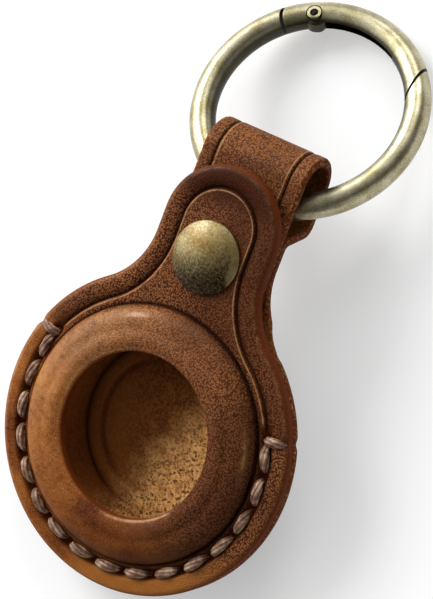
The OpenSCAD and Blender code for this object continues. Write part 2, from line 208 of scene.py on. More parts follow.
class Value:
    """A number that comes out of a node. Python's operators on it add Math nodes."""

    def __init__(self, graph: "Graph", socket: bpy.types.NodeSocket) -> None:
        """Wraps an output socket of the graph."""
        self.graph = graph
        self.socket = socket

    def _math(self, operation: str, *operands: Any) -> "Value":
        """Adds one Math node."""
        return self.graph.node("ShaderNodeMath", {"operation": operation}, dict(enumerate(operands)))

    def __add__(self, other: Any) -> "Value":
        """The sum."""
        return self._math("ADD", self, other)

    __radd__ = __add__

    def __sub__(self, other: Any) -> "Value":
        """The difference."""
        return self._math("SUBTRACT", self, other)

    def __rsub__(self, other: Any) -> "Value":
        """The difference, taken from a number."""
        return self._math("SUBTRACT", other, self)

    def __mul__(self, other: Any) -> "Value":
        """The product."""
        return self._math("MULTIPLY", self, other)

    __rmul__ = __mul__

    def __pow__(self, other: Any) -> "Value":
        """The power."""
        return self._math("POWER", self, other)

    def most(self, other: Any) -> "Value":
        """The larger of the two."""
        return self._math("MAXIMUM", self, other)

    def band(self, low: float, high: float) -> "Value":
        """Rises smoothly from 0 to 1.

        Args:
            low: Where it is 0.
            high: Where it is 1.

        Returns:
            The share.
        """
        return self.graph.node(
            "ShaderNodeMapRange",
            {"interpolation_type": "SMOOTHSTEP"},
            {"Value": self, "From Min": low, "From Max": high},
        )


class Graph:
    """The node tree of one material, or of the world."""

    def __init__(self, owner: bpy.types.Material | bpy.types.World) -> None:
        """Empties the owner's node tree.

        Args:
            owner: The material or the world.
        """
        self.owner = owner
        owner.use_nodes = True
        self.tree = owner.node_tree
        self.tree.nodes.clear()

    def node(
        self,
        kind: str,
        settings: dict[str, Any] | None = None,
        inputs: dict[Any, Any] | None = None,
        out: str | int = 0,
    ) -> Value:
        """Adds any node.

        Args:
            kind: The node's type.
            settings: Its own settings, set first. "stops" are a ramp's places and colours.
            inputs: Values or links of its sockets, by name or number.
            out: The output that is wanted.

        Returns:
            That output.
        """
        made = self.tree.nodes.new(kind)
        for key, value in (settings or {}).items():
            if key == "stops":
                ramp = made.color_ramp.elements
                while len(ramp) < len(value):
                    ramp.new(0.5)
                for stop, (place, colour) in zip(ramp, value):
                    stop.position = place
                    stop.color = (*colour, 1)
            else:
                setattr(made, key, value)
        for key, value in (inputs or {}).items():
            socket = made.inputs[key]
            if isinstance(value, Value):
                self.tree.links.new(value.socket, socket)
            elif isinstance(value, tuple) and socket.type == "RGBA":
                socket.default_value = (*value, 1)
            else:
                socket.default_value = value
        return Value(self, made.outputs[out] if made.outputs else None)

    def place(self) -> Value:
        """Where a point is on the object."""
        return self.node("ShaderNodeTexCoord", out="Object")

    def moved(self, at: Value, place: Matrix) -> tuple[Value, Value, Value]:
        """Coordinates along the axes of a place on the holder, in its millimetres.

        Args:
            at: The point in the row frame.
            place: The place's own matrix.

        Returns:
            The point's x, y and z there.
        """
        shift, turn, size = place.inverted().decompose()
        inputs = {"Vector": at, "Location": shift, "Rotation": turn.to_euler("XYZ"), "Scale": size}
        there = self.node("ShaderNodeMapping", {"vector_type": "POINT"}, inputs)
        split = [self.node("ShaderNodeSeparateXYZ", {}, {"Vector": there}, axis) for axis in "XYZ"]
        return split[0], split[1], split[2]

    def painted(self, mask: Mask) -> Value:
        """A mask that the piece's own mesh carries."""
        return self.node("ShaderNodeAttribute", {"attribute_name": mask.value}, out="Fac")

    def grain(self, at: Value, size: float, detail: float = 2.0, rough: float = 0.5) -> Value:
        """Soft noise whose blotches are about size millimetres."""
        inputs = {"Vector": at, "Scale": MILLIMETRES / size, "Detail": detail, "Roughness": rough}
        return self.node("ShaderNodeTexNoise", {}, inputs)

    def cells(self, at: Value, size: float) -> Value:
        """Distance to the nearest of points about size millimetres apart."""
        inputs = {"Vector": at, "Scale": MILLIMETRES / size}
        return self.node("ShaderNodeTexVoronoi", {"feature": "F1"}, inputs, "Distance")

    def ramp(self, value: Value, *stops: tuple[float, Colour]) -> Value:
        """Turns a number into colours."""
        return self.node("ShaderNodeValToRGB", {"stops": stops}, {"Fac": value})

    def mix(self, share: Any, first: Any, second: Any) -> Value:
        """Mixes two colours."""
        sockets = {FACTOR: share, COLOUR_A: first, COLOUR_B: second}
        return self.node("ShaderNodeMix", {"data_type": "RGBA"}, sockets, COLOUR_OUT)

    def finish(self, bump: Value | None, depth: float, **sockets: Any) -> bpy.types.Material:
        """Ends the material in one shader.

        Args:
            bump: Height of the surface, 0 to 1, or None for a smooth one.
            depth: What a height of 1 stands for, in millimetres.
            sockets: Values or links of the shader, with _ for each space in a name.

        Returns:
            The material.
        """
        inputs = {key.replace("_", " "): value for key, value in sockets.items()}
        if bump is not None:
            relief = {"Height": bump, "Distance": depth / MILLIMETRES, "Strength": 1.0}
            inputs["Normal"] = self.node("ShaderNodeBump", {}, relief)
        shader = self.node("ShaderNodeBsdfPrincipled", {}, inputs)
        self.node("ShaderNodeOutputMaterial", {}, {"Surface": shader})
        return self.owner

    def seen(self) -> Value:
        """1 for what the eye sees, itself or in a gloss, and 0 for light thrown on.

        Returns:
            1 or 0, by the ray.
        """
        rays = ("Is Camera Ray", "Is Glossy Ray", "Is Transmission Ray")
        first, second, third = (self.node("ShaderNodeLightPath", out=ray) for ray in rays)
        return first.most(second).most(third)


@dataclass(frozen=True)
class Spot:
    """What a leather's finish is mixed from: a point's place, masks and noises."""

    g: Graph
    at: Value
    x: Value
    y: Value
    z: Value
    edge: Value
    press: Value
    flesh: Value
    rub: Value
    broad: Value
    mottle: Value
    fine: Value


@dataclass(frozen=True)
class Leather:
    """Waxed chestnut leather: fine grain outside, a rough flesh side, burnished edges."""

    name: str
    seat: Seat = field(default_factory=Seat)
    # Colour of painted highlights and of the raw edge's pale fibres.
    pale_highlight_and_fibre: Colour = tone(204, 152, 98)
    # Also the colour of the painted light on the rim's lower part and on the pocket floor's left.
    light: Colour = tone(178, 112, 50)
    peak: Colour = tone(172, 116, 76)
    middle: Colour = tone(126, 66, 22)
    dark: Colour = tone(62, 25, 5)
    # Colour of pressed lines and of the painted shade in grooves and stitch holes.
    crease: Colour = tone(13, 5, 2)
    edge: Colour = tone(118, 54, 18)
    flesh: Colour = tone(142, 84, 40)
    # Colour of the painted pool of light on the pocket floor.
    lit_gold: Colour = tone(236, 184, 116)
    pit: Colour = tone(44, 20, 7)
    broad_w: float = 7.0
    mottle_w: float = 1.2
    pebble_w: float = 0.27
    fine_w: float = 0.2
    relief: float = 0.06
    gloss: float = 0.44
    raw: float = 0.0

    def material(self) -> bpy.types.Material:
        """Builds the finish. The mesh paints where it is edge, where it is pressed or takes painted
        shade, where it takes painted light or is rubbed, and where its flesh side is.

        Returns:
            The material.
        """
        g = Graph(bpy.data.materials.new(self.name))
        s = self.spot(g)
        grainy = (s.x * 0.6 + s.y * 0.8 + s.broad * 4).band(-7.0, 4.0) * (1 - s.rub * 0.4)
        pebble = g.cells(s.at, self.pebble_w) + s.fine * 0.4
        valley = pebble.band(0.54, 0.84) * (0.2 + grainy * 0.8)
        burnished = g.mix(s.fine.band(0.35, 0.75) * 0.6, self.edge, self.dark)
        cut = g.grain(s.at, 0.4, 3, 0.7)
        burnished = g.mix(cut.band(0.52, 0.62) * self.raw * 0.7, burnished, self.pale_highlight_and_fibre)
        fibre = g.cells(s.at, 0.42) * 0.6 + s.fine * 0.5
        smooth = 1 - s.edge * 0.8
        height = (1 - valley) * smooth + g.grain(s.at, 0.9, 5, 0.65) * 0.7 + s.fine * 0.3
        height = height + cut * s.edge * self.raw * 2
        furry = fibre * 1.6 + g.grain(s.at, 0.16, 3, 0.7) * 1.2
        outside = g.mix(s.edge, self.hide(s, grainy, valley), burnished)
        rough = self.gloss + s.fine * 0.2 + s.press * 0.1 + s.flesh * 0.4 + s.edge * 0.12
        polish = s.rub * 0.15 + s.rub.band(0.8, 1.0) * 0.55
        return g.finish(
            height * (1 - s.flesh) + furry * s.flesh,
            self.relief,
            Base_Color=g.mix(s.flesh, outside, self.flesh_side(s, fibre)),
            Roughness=rough - s.rub * 0.08,
            Specular_IOR_Level=0.07,
            Coat_Weight=polish * (1 - s.flesh) * (1 - s.edge),
            Coat_Roughness=0.34,
        )

    def spot(self, g: Graph) -> Spot:
        """Reads the place and the masks of a point, and the noises of this leather there.

        Args:
            g: The material's nodes.

        Returns:
            The values.
        """
        at = g.place()
        x, y, z = g.moved(at, self.seat.holder)
        edge, press = g.painted(Mask.EDGE), g.painted(Mask.PRESS)
        flesh, rub = g.painted(Mask.FLESH), g.painted(Mask.PAINTED_LIGHT_AND_RUB)
        broad = g.grain(at, self.broad_w, 3)
        mottle = g.grain(at, self.mottle_w, 4, 0.65)
        fine = g.grain(at, self.fine_w, 2, 0.6)
        return Spot(g, at, x, y, z, edge, press, flesh, rub, broad, mottle, fine)

    def hide(self, s: Spot, grainy: Value, valley: Value) -> Value:
        """Colour of the grain side, with its painted light and shade.

        Args:
            s: The point.
            grainy: How strongly the grain shows.
            valley: Where the lines between the grain's pebbles are.

        Returns:
            The colour.
        """
        # The painted light mask lightens the tone a little.
        shade = s.broad * 0.45 + s.mottle * 0.14 + s.fine * 0.58 + s.rub * 0.12
        hide = s.g.ramp(shade, (0.47, self.dark), (0.6, self.middle), (0.82, self.light))
        hide = s.g.mix(grainy * 0.42, hide, self.peak)
        hide = s.g.mix(valley * 0.95, hide, self.dark)
        hide = self.painted_highlights_and_scuffs(s, self.painted_shade_and_tone(s, hide))
        # Pressed lines go dark, with painted shade in grooves and stitch holes.
        return s.g.mix(s.press * 0.9, hide, self.crease)

    def painted_shade_and_tone(self, s: Spot, hide: Value) -> Value:
        """Paints shade on the side away from the light, darkens the neck and the tab's tip, and paints
        light on the rim's lower part.

        Args:
            s: The point.
            hide: The hide's colour.

        Returns:
            The colour.
        """
        side = s.y * 0.42 - s.x * 0.9
        out = (s.x * s.x + s.y * s.y) ** 0.5
        rim = out.band(20.3, 21.3) * s.y.band(9.0, 6.0)
        low = rim * s.y.band(-8.0, -18.0) * s.x.band(-8.0, 4.0)
        # Painted light on the lower part of the rim.
        hide = s.g.mix(low * 0.6, hide, self.light)
        neck = s.x.band(-5.0, 4.0) * s.y.band(13.0, 19.0) * 0.65
        tip = s.y.band(33.0, 38.0).most(neck) * s.z.band(-3.4, -2.6)
        # Painted shade on the side away from the light.
        painted_shade = (side + s.broad * 6).band(6.5, -12.0) * (1 - rim * 0.95) * 0.6
        return s.g.mix(painted_shade.most(tip * 0.95), hide, self.dark)

    def painted_highlights_and_scuffs(self, s: Spot, hide: Value) -> Value:
        """Lightens the hide with painted light and painted highlight patches where the painted light
        mask is strong, and with short scratches there.

        Args:
            s: The point.
            hide: The hide's colour.

        Returns:
            The colour.
        """
        sweep = {"Vector": s.at, "Rotation": (0, 0, 0.6), "Scale": (0.16, 1, 1)}
        swept = s.g.node("ShaderNodeMapping", {"vector_type": "POINT"}, sweep)
        scuff = s.g.grain(swept, 0.3, 3, 0.6).band(0.56, 0.7)
        # Painted light in broad blotches, with short scratches, where the painted light mask is strong.
        sheen_and_scratches = s.rub * s.rub * (s.mottle.band(0.3, 0.7) * 0.2 + scuff * 0.3)
        # Painted highlight patches.
        highlight_patches = s.rub.band(0.7, 1.0) * s.mottle.band(0.25, 0.55) * 0.45
        return s.g.mix(highlight_patches, s.g.mix(sheen_and_scratches, hide, self.pale_highlight_and_fibre), self.pale_highlight_and_fibre)

    def flesh_side(self, s: Spot, fibre: Value) -> Value:
        """Colour of the rough side: dark brown, with painted light on the pocket floor's left and a
        painted pool of golden light on its other side.

        Args:
            s: The point.
            fibre: Its fibres.

        Returns:
            The colour.
        """
        g, at, x, y = s.g, s.at, s.x, s.y
        cloud = g.grain(at, 2.6, 4, 0.6)
        inside = ((x * x + y * y) ** 0.5).band(16.6, 16.2)
        # Painted light on the left of the pocket floor.
        left = inside * (x * -0.9 - y * 0.35).band(2.0, 8.0)
        # Painted pool of golden light where the light falls on the pocket floor.
        lit_pool = inside * (x * 0.91 - y * 0.41 + cloud * 5).band(0.3, 9.5)
        fleck = g.grain(at, 0.75, 3, 0.65)
        colour = g.ramp(fibre * 0.7 + cloud * 0.4, (0.3, self.pit), (0.7, self.flesh))
        colour = g.mix(left * 0.4, colour, self.light)
        shade = fibre * 0.4 + fleck * 0.3 + cloud * 0.3
        colour = g.mix(lit_pool, colour, g.ramp(shade, (0.34, self.flesh), (0.6, self.lit_gold)))
        dots = g.cells(at, 0.7).band(0.36, 0.22) * cloud.band(0.38, 0.52)
        specks = dots.most(fleck.band(0.54, 0.6)) * (lit_pool * 0.75 + 0.08)
        # Dark lines on the pocket floor's steps.
        return g.mix(s.press * 0.9, g.mix(specks, colour, self.pit), self.pit)


@dataclass(frozen=True)
class WaxedThread:
    """Twisted, waxed thread with pale worn fibres."""

    name: str = "waxed_thread"
    yarn: Colour = tone(124, 84, 58)
    shade: Colour = tone(66, 40, 27)
    worn: Colour = tone(196, 166, 138)

    def material(self) -> bpy.types.Material:
        """Builds the finish, with streaks along the plies and painted shade in the grooves between them.

        Returns:
            The material.
        """
        g = Graph(bpy.data.materials.new(self.name))
        ply = g.painted(Mask.PLY)
        fibre = g.grain(g.place(), 0.14, 3, 0.7)
        patch = g.grain(g.place(), 1.2, 2)
        streak = fibre * 0.45 + patch * 0.6 + ply * 0.08
        tint = g.ramp(streak, (0.42, self.shade), (0.56, self.yarn), (0.7, self.worn))
        # Painted shade in the grooves between the plies.
        colour = g.mix((1 - ply).band(0.72, 1.0) * 0.5, tint, self.shade)
        height = fibre * 0.8 + ply * 0.6
        return g.finish(height, 0.05, Base_Color=colour, Roughness=0.36 + fibre * 0.25)


@dataclass(frozen=True)
class AntiqueBrass:
    """Rubbed antique brass: pale where it is worn, olive where the dark finish stays."""

    name: str
    seat: Seat = field(default_factory=Seat)
    worn: Colour = tone(212, 206, 178)
    body: Colour = tone(140, 129, 88)
    dark: Colour = tone(30, 25, 14)
    gloss: float = 0.28
    speckle: float = 0.15

    def patina_and_shade(self, g: Graph, at: Value) -> Value | float:
        """Where the dark finish or painted shade goes, beside the specks: nowhere on a plain piece."""
        return 0.0

    def material(self) -> bpy.types.Material:
        """Builds the finish.

        Returns:
            The material.
        """
        g = Graph(bpy.data.materials.new(self.name))
        at = g.place()
        patina_and_shade = self.patina_and_shade(g, at)
        cloud = g.grain(at, 3.2, 5, 0.6)
        speck = g.grain(at, 0.22, 3, 0.7)
        metal = g.ramp(cloud * 0.5 + speck * 0.5, (0.4, self.body), (0.66, self.worn))
        colour = g.mix((speck.band(0.5, 0.72) * self.speckle + patina_and_shade).band(0.0, 1.0), metal, self.dark)
        return g.finish(
            speck + cloud * 0.5,
            0.01,
            Base_Color=colour,
            Roughness=speck * 0.14 + patina_and_shade * 0.2 + self.gloss,
            Metallic=1.0,
            Coat_Weight=0.35,
            Coat_Roughness=0.22,
        )


@dataclass(frozen=True)
class RingBrass(AntiqueBrass):
    """The ring's brass, with painted dark reflection on the wire's inner side and painted shade in the
    spring's channel, at the hinge and in the latch's cut.
    """

    def patina_and_shade(self, g: Graph, at: Value) -> Value | float:
        """Where painted shade and painted dark reflection go on the ring.

        Args:
            g: The material's nodes.
            at: The point.

        Returns:
            How strongly, 0 to 1.
        """
        seat = self.seat
        x, y, z = g.moved(at, seat.ring)
        out = (x * x + y * y) ** 0.5
        # Painted dark reflection on the wire's inner side, partly its dark finish.
        inner = out.band(seat.ring_r - 1.05, seat.ring_r - 1.8) * 0.8
        # Painted shade in the spring's channel.
        channel = (z * z).band(0.8, 0.74) * out.band(seat.channel_in, seat.channel_in + 0.06)
        channel = channel * out.band(seat.channel_out + 0.1, seat.channel_out)
        x, y, _ = g.moved(at, seat.pin)
        far = (x * x + y * y) ** 0.5
        # Painted shade in the gap at the hinge.
        gap = far.band(4.8, 4.9) * far.band(5.45, 5.35) * x.band(0.0, 0.5)
        # Painted shade round the pin's heads.
        head = far.band(1.04, 1.12) * far.band(1.34, 1.22)
        x, y, _ = g.moved(at, seat.latch)
        # Painted shade in the cut at the gate's free end.
        cut = (y * y).band(0.055, 0.036) * (x * x).band(12.0, 9.0)
        return inner.most(channel * 0.98).most(gap * 0.95).most(head * 0.9).most(cut * 0.95)


@dataclass(frozen=True)
class CapBrass(AntiqueBrass):
    """The cap's brass: olive and finely mottled, with a painted highlight on its rim's right side and
    painted shade towards the pocket.
    """

    worn: Colour = tone(176, 165, 124)
    body: Colour = tone(122, 95, 36)
    dark: Colour = tone(36, 20, 4)
    gloss: float = 0.45
    speckle: float = 0.35

    def patina_and_shade(self, g: Graph, at: Value) -> Value | float:
        """Where the cap's mottled dark finish and its painted shade go.

        Args:
            g: The material's nodes.
            at: The point.

        Returns:
            How strongly, 0 to 1.
        """
        x, y, _ = g.moved(at, self.seat.snap)
        # Painted highlight: the rim's right side is kept clear of the dark.
        highlight_rim = ((x * x + y * y) ** 0.5).band(4.2, 4.7) * (x * 0.95 + y * 0.3).band(3.4, 4.2)
        mottled = g.grain(at, 0.35, 4, 0.75).band(0.42, 0.58)
        # Painted shade, darker towards the pocket.
        low = (x * 0.45 - y).band(-2.5, 4.5)
        return (1 - highlight_rim) * (mottled * 0.36 + low * 0.55)


@dataclass(frozen=True)
class SpringSteel:
    """Plain drawn spring steel."""

    name: str = "spring_steel"
    body: Colour = tone(104, 100, 94)
    dark: Colour = tone(44, 42, 40)

    def material(self) -> bpy.types.Material:
        """Builds the finish.

        Returns:
            The material.
        """
        g = Graph(bpy.data.materials.new(self.name))
        streak = g.grain(g.place(), 0.3, 3)
        colour = g.ramp(streak, (0.35, self.dark), (0.6, self.body))
        return g.finish(streak, 0.004, Base_Color=colour, Roughness=0.28 + streak * 0.2, Metallic=1.0)


@dataclass(frozen=True)
class Paper:
    """Plain matt white studio paper."""

    name: str = "studio_paper"
    white: Colour = (0.62, 0.62, 0.62)
    grey: Colour = (0.42, 0.42, 0.42)
    glow: Colour = (0.4, 0.4, 0.4)

    def material(self) -> bpy.types.Material:
        """Builds the finish: white to the eye, and grey to the light that it throws back.

        Returns:
            The material.
        """
        g = Graph(bpy.data.materials.new(self.name))
        seen = g.seen()
        return g.finish(
            None,
            0,
            Base_Color=g.mix(seen, self.grey, self.white),
            Roughness=0.9,
            Emission_Color=g.mix(seen, (0, 0, 0), self.glow),
            Emission_Strength=1.0,
        )


def ring_edges(
    bm: bmesh.types.BMesh, radius: float, z: float, centre: Vector
) -> list[bmesh.types.BMEdge]:
    """Finds an open round edge.

    Args:
        bm: The mesh.
        radius: The edge's radius.
        z: Its height.
        centre: A point on its axis.

    Returns:
        The edges with one face that lie on that circle.
    """
    return [
        e
        for e in bm.edges
        if e.is_boundary
        and all(
            abs(math.hypot(v.co.x - centre.x, v.co.y - centre.y) - radius) < ON_CIRCLE
            and abs(v.co.z - z) < ON_CIRCLE
            for v in e.verts
        )
    ]


def turned(bm: bmesh.types.BMesh, chain: Chain, steps: int, centre: Vector = ORIGIN) -> None:
    """Adds the surface that a chain of radius and height makes when it is spun full circle.

    Args:
        bm: The mesh.
        chain: Radius and height of each point.
        steps: How many steps it is spun in.
        centre: A point on the axis.
    """
    line = [bm.verts.new((centre.x + r, centre.y, z)) for r, z in chain]
    edges = [bm.edges.new(pair) for pair in zip(line, line[1:])]
    full = {"axis": (0, 0, 1), "angle": math.tau, "steps": steps, "use_merge": True}
    bmesh.ops.spin(bm, geom=line + edges, cent=centre, **full)


def inset(bm: bmesh.types.BMesh, face: bmesh.types.BMFace, width: float, rise: float) -> None:
    """Insets a flat face evenly, and lifts what is left of it."""
    bmesh.ops.inset_region(bm, faces=[face], thickness=width, use_boundary=True, use_even_offset=True)
    bmesh.ops.translate(bm, vec=(0, 0, rise), verts=face.verts)


def cut_across(bm: bmesh.types.BMesh, geom: list[Any], y: float, clear_outer: bool = False) -> None:
    """Cuts a part of a mesh square across at a flat length, and may clear what lies beyond."""
    plane = {"plane_co": (0, y, 0), "plane_no": (0, 1, 0)}
    bmesh.ops.bisect_plane(bm, geom=geom, dist=SAME_POINT, clear_outer=clear_outer, **plane)


def let_in(
    bm: bmesh.types.BMesh, faces: list[bmesh.types.BMFace], loops: list[bmesh.types.BMEdge]
) -> None:
    """Opens flat faces round the loops that stand in them, and closes them up to the loops.

    Args:
        bm: The mesh.
        faces: The flat faces.
        loops: The edges of the loops.
    """
    inside = set(faces)
    edges = [e for f in faces for e in f.edges if sum(g in inside for g in e.link_faces) == 1]
    up = faces[0].normal.copy()
    bmesh.ops.delete(bm, geom=faces, context="FACES")
    bmesh.ops.triangle_fill(bm, edges=edges + loops, use_beauty=True, normal=up)


def finished(
    bm: bmesh.types.BMesh, name: str, place: Matrix, finish: bpy.types.Material, crisp: float = 40
) -> bpy.types.Object:
    """Turns a mesh into a finished object at the origin.

    Args:
        bm: The mesh, which is used up.
        name: The piece's name.
        place: From the mesh's own millimetres to the row frame.
        finish: Its material.
        crisp: Angle in degrees over which an edge is shaded sharp.

    Returns:
        The object.
    """
    bmesh.ops.remove_doubles(bm, verts=bm.verts, dist=SAME_POINT)
    bmesh.ops.recalc_face_normals(bm, faces=bm.faces)
    for face in bm.faces:
        face.smooth = True
    for edge in bm.edges:
        edge.smooth = edge.calc_face_angle(0) < math.radians(crisp)
    bm.transform(place)
    mesh = bpy.data.meshes.new(name)
    bm.to_mesh(mesh)
    bm.free()
    mesh.materials.append(finish)
    made = bpy.data.objects.new(name, mesh)
    bpy.context.collection.objects.link(made)
    return made


def paint(bm: bmesh.types.BMesh, mask: Mask, rule: Callable[[Vector], float]) -> None:
    """Writes a mask on the mesh from each vertex's place.

    Args:
        bm: The mesh.
        mask: Which mask.
        rule: The mask's value at a point.
    """
    layer = bm.verts.layers.float.new(mask.value)
    for v in bm.verts:
        v[layer] = min(1.0, max(0.0, rule(v.co)))


def paint_all(bm: bmesh.types.BMesh, *rules: Callable[[Vector], float]) -> None:
    """Writes a leather's masks by their rules, in the order that Mask lists them."""
    for mask, rule in zip(Mask, rules):
        paint(bm, mask, rule)


@dataclass(frozen=True)
class Outline:
    """A disc with a narrower neck that ends round, and a round where they meet."""

    disc_r: float
    neck_w: float
    fillet: float
    reach: float
    pitch: float = 0.3

    @property
    def half(self) -> float:
        """Half the neck's width."""
        return self.neck_w / 2

    @property
    def fillet_at(self) -> tuple[float, float]:
        """Centre of the round between disc and neck, on the right."""
        x = self.half + self.fillet
        return x, math.sqrt((self.disc_r + self.fillet) ** 2 - x**2)

    def points(self) -> Chain:
        """The outline, counter-clockwise from its lowest point.

        Returns:
            The points.
        """
        mx, my = self.fillet_at
        turn = math.degrees(math.atan2(my, mx))
        top = self.reach - self.half
        parts = [((0.0, 0.0), self.disc_r, -90, turn), ((mx, my), self.fillet, 180 + turn, 180)]
        right: Chain = []
        for centre, radius, start, end in parts:
            steps = math.ceil(math.radians(abs(end - start)) * radius / self.pitch)
            right += arc(centre, radius, start, end, steps)[:-1]
        steps = math.ceil((top - my) / self.pitch)
        right += [(self.half, my + (top - my) * i / steps) for i in range(steps)]
        steps = math.ceil(math.pi / 2 * self.half / self.pitch)
        right += arc((0, top), self.half, 0, 90, steps)
        left = [(-x, y) for x, y in reversed(right[1:-1])]
        return right + left

    def depth(self, x: float, y: float) -> float:
        """Distance of a point inside the outline from it.

        Args:
            x: The point's x.
            y: The point's y.

        Returns:
            The distance.
        """
        x = abs(x)
        mx, my = self.fillet_at
        top = self.reach - self.half
        if y > top:
            return self.half - math.hypot(x, y - top)
        if y >= my:
            return self.half - x
        if math.atan2(y, x) > math.atan2(my, mx):
            return math.hypot(x - mx, y - my) - self.fillet
        return self.disc_r - math.hypot(x, y)

    def blank(
        self, bm: bmesh.types.BMesh, low: float, high: float
    ) -> tuple[bmesh.types.BMFace, bmesh.types.BMFace]:
        """Cuts a blank with straight sides.

        Args:
            bm: The mesh to add it to.
            low: Height of its lower face.
            high: Height of its upper face.

        Returns:
            The lower and the upper face.
        """
        bottom = bm.faces.new([bm.verts.new((x, y, low)) for x, y in self.points()])
        bm.normal_update()
        if bottom.normal.z > 0:
            bottom.normal_flip()
        grown = bmesh.ops.extrude_face_region(bm, geom=[bottom], use_keep_orig=True)["geom"]
        top = next(g for g in grown if isinstance(g, bmesh.types.BMFace))
        bmesh.ops.translate(bm, vec=(0, 0, high - low), verts=top.verts)
        bm.normal_update()
        return bottom, top


def rows_in(bm: bmesh.types.BMesh, face: bmesh.types.BMFace, rows: Rows) -> None:
    """Lays rows of narrow faces inside a flat face's edge.

    Args:
        bm: The mesh.
        face: The face.
        rows: Width and number of the rows, from the edge inwards.
    """
    for width, count in rows:
        for _ in range(count):
            inset(bm, face, width, 0)


def round_over(
    bm: bmesh.types.BMesh, face: bmesh.types.BMFace, width: float, height: float, steps: int
) -> None:
    """Rounds a face's edge over with a series of insets.

    Args:
        bm: The mesh.
        face: The face.
        width: How far the round reaches in.
        height: How far it rises, negative on a lower face.
        steps: Number of insets.
    """
    turns = [math.pi / 2 * i / steps for i in range(steps + 1)]
    for a, b in zip(turns, turns[1:]):
        inset(bm, face, width * (math.cos(a) - math.cos(b)), height * (math.sin(b) - math.sin(a)))


@dataclass(frozen=True)
class Seam:
    """The line of holes round the pocket, and what the thread does to the leathers."""

    from_edge: float = 3.25
    stitch_r: float = 20.75
    end_turn: float = 22.3785
    pitch_turn: float = 14.0473
    count: int = 16
    end_y: float = 7.9
    sewn_to: float = 8.2
    plain_from: float = 10.2
    wrap_turn: float = 12.0
    wrap_out: float = 3.3
    nick_w: float = 0.6
    nick_in: float = 0.28
    sides_x: float = 15.0
    sides_y: float = 12.0
    near: float = 3.0

    def sewn(self, y: float) -> float:
        """1 beside the seam, fading to 0 past its ends."""
        return 1 - ease(self.sewn_to, self.plain_from, y)

    def beside_wrap(self, x: float, y: float) -> float:
        """How far a point lies beside the nearer wrap's line."""
        turn = math.radians(self.wrap_turn)
        return (y - self.end_y) * math.cos(turn) - (abs(x) - self.holes()[0][0]) * math.sin(turn)

    def holes(self) -> list[tuple[float, float]]:
        """Where the holes are."""
        turns = [math.radians(self.end_turn - i * self.pitch_turn) for i in range(self.count + 1)]
        return [(self.stitch_r * math.cos(a), self.stitch_r * math.sin(a)) for a in turns]

    def pit(self, x: float, y: float, along: float, across: float) -> float:
        """How far into a hole a point is, 0 to 1; holes are longer along the seam.

        Args:
            x: The point's x.
            y: The point's y.
            along: Half a hole's length.
            across: Half a hole's width.

        Returns:
            How far in it is.
        """
        if abs(math.hypot(x, y) - self.stitch_r) >= 2:
            return 0.0
        best = 0.0
        for hx, hy in self.holes():
            if abs(x - hx) + abs(y - hy) < self.near:
                dx, dy = x - hx, y - hy
                out = (dx * hx + dy * hy) / self.stitch_r
                side = (dy * hx - dx * hy) / self.stitch_r
                best = max(best, bell(side, along) * bell(out, across))
        return best

    def draw_in(self, v: bmesh.types.BMVert, outline: Outline) -> None:
        """Draws a point near the edge in under the wraps of the thread.

        Args:
            v: The point.
            outline: The leather's outline.
        """
        x, y = v.co.x, v.co.y
        if abs(x) > self.sides_x and y < self.sides_y:
            near = 1 - ease(0.2, 1.6, outline.depth(x, y))
            pull = self.nick_in * bell(self.beside_wrap(x, y), self.nick_w) * near
            v.co -= Vector((x, y, 0)).normalized() * pull


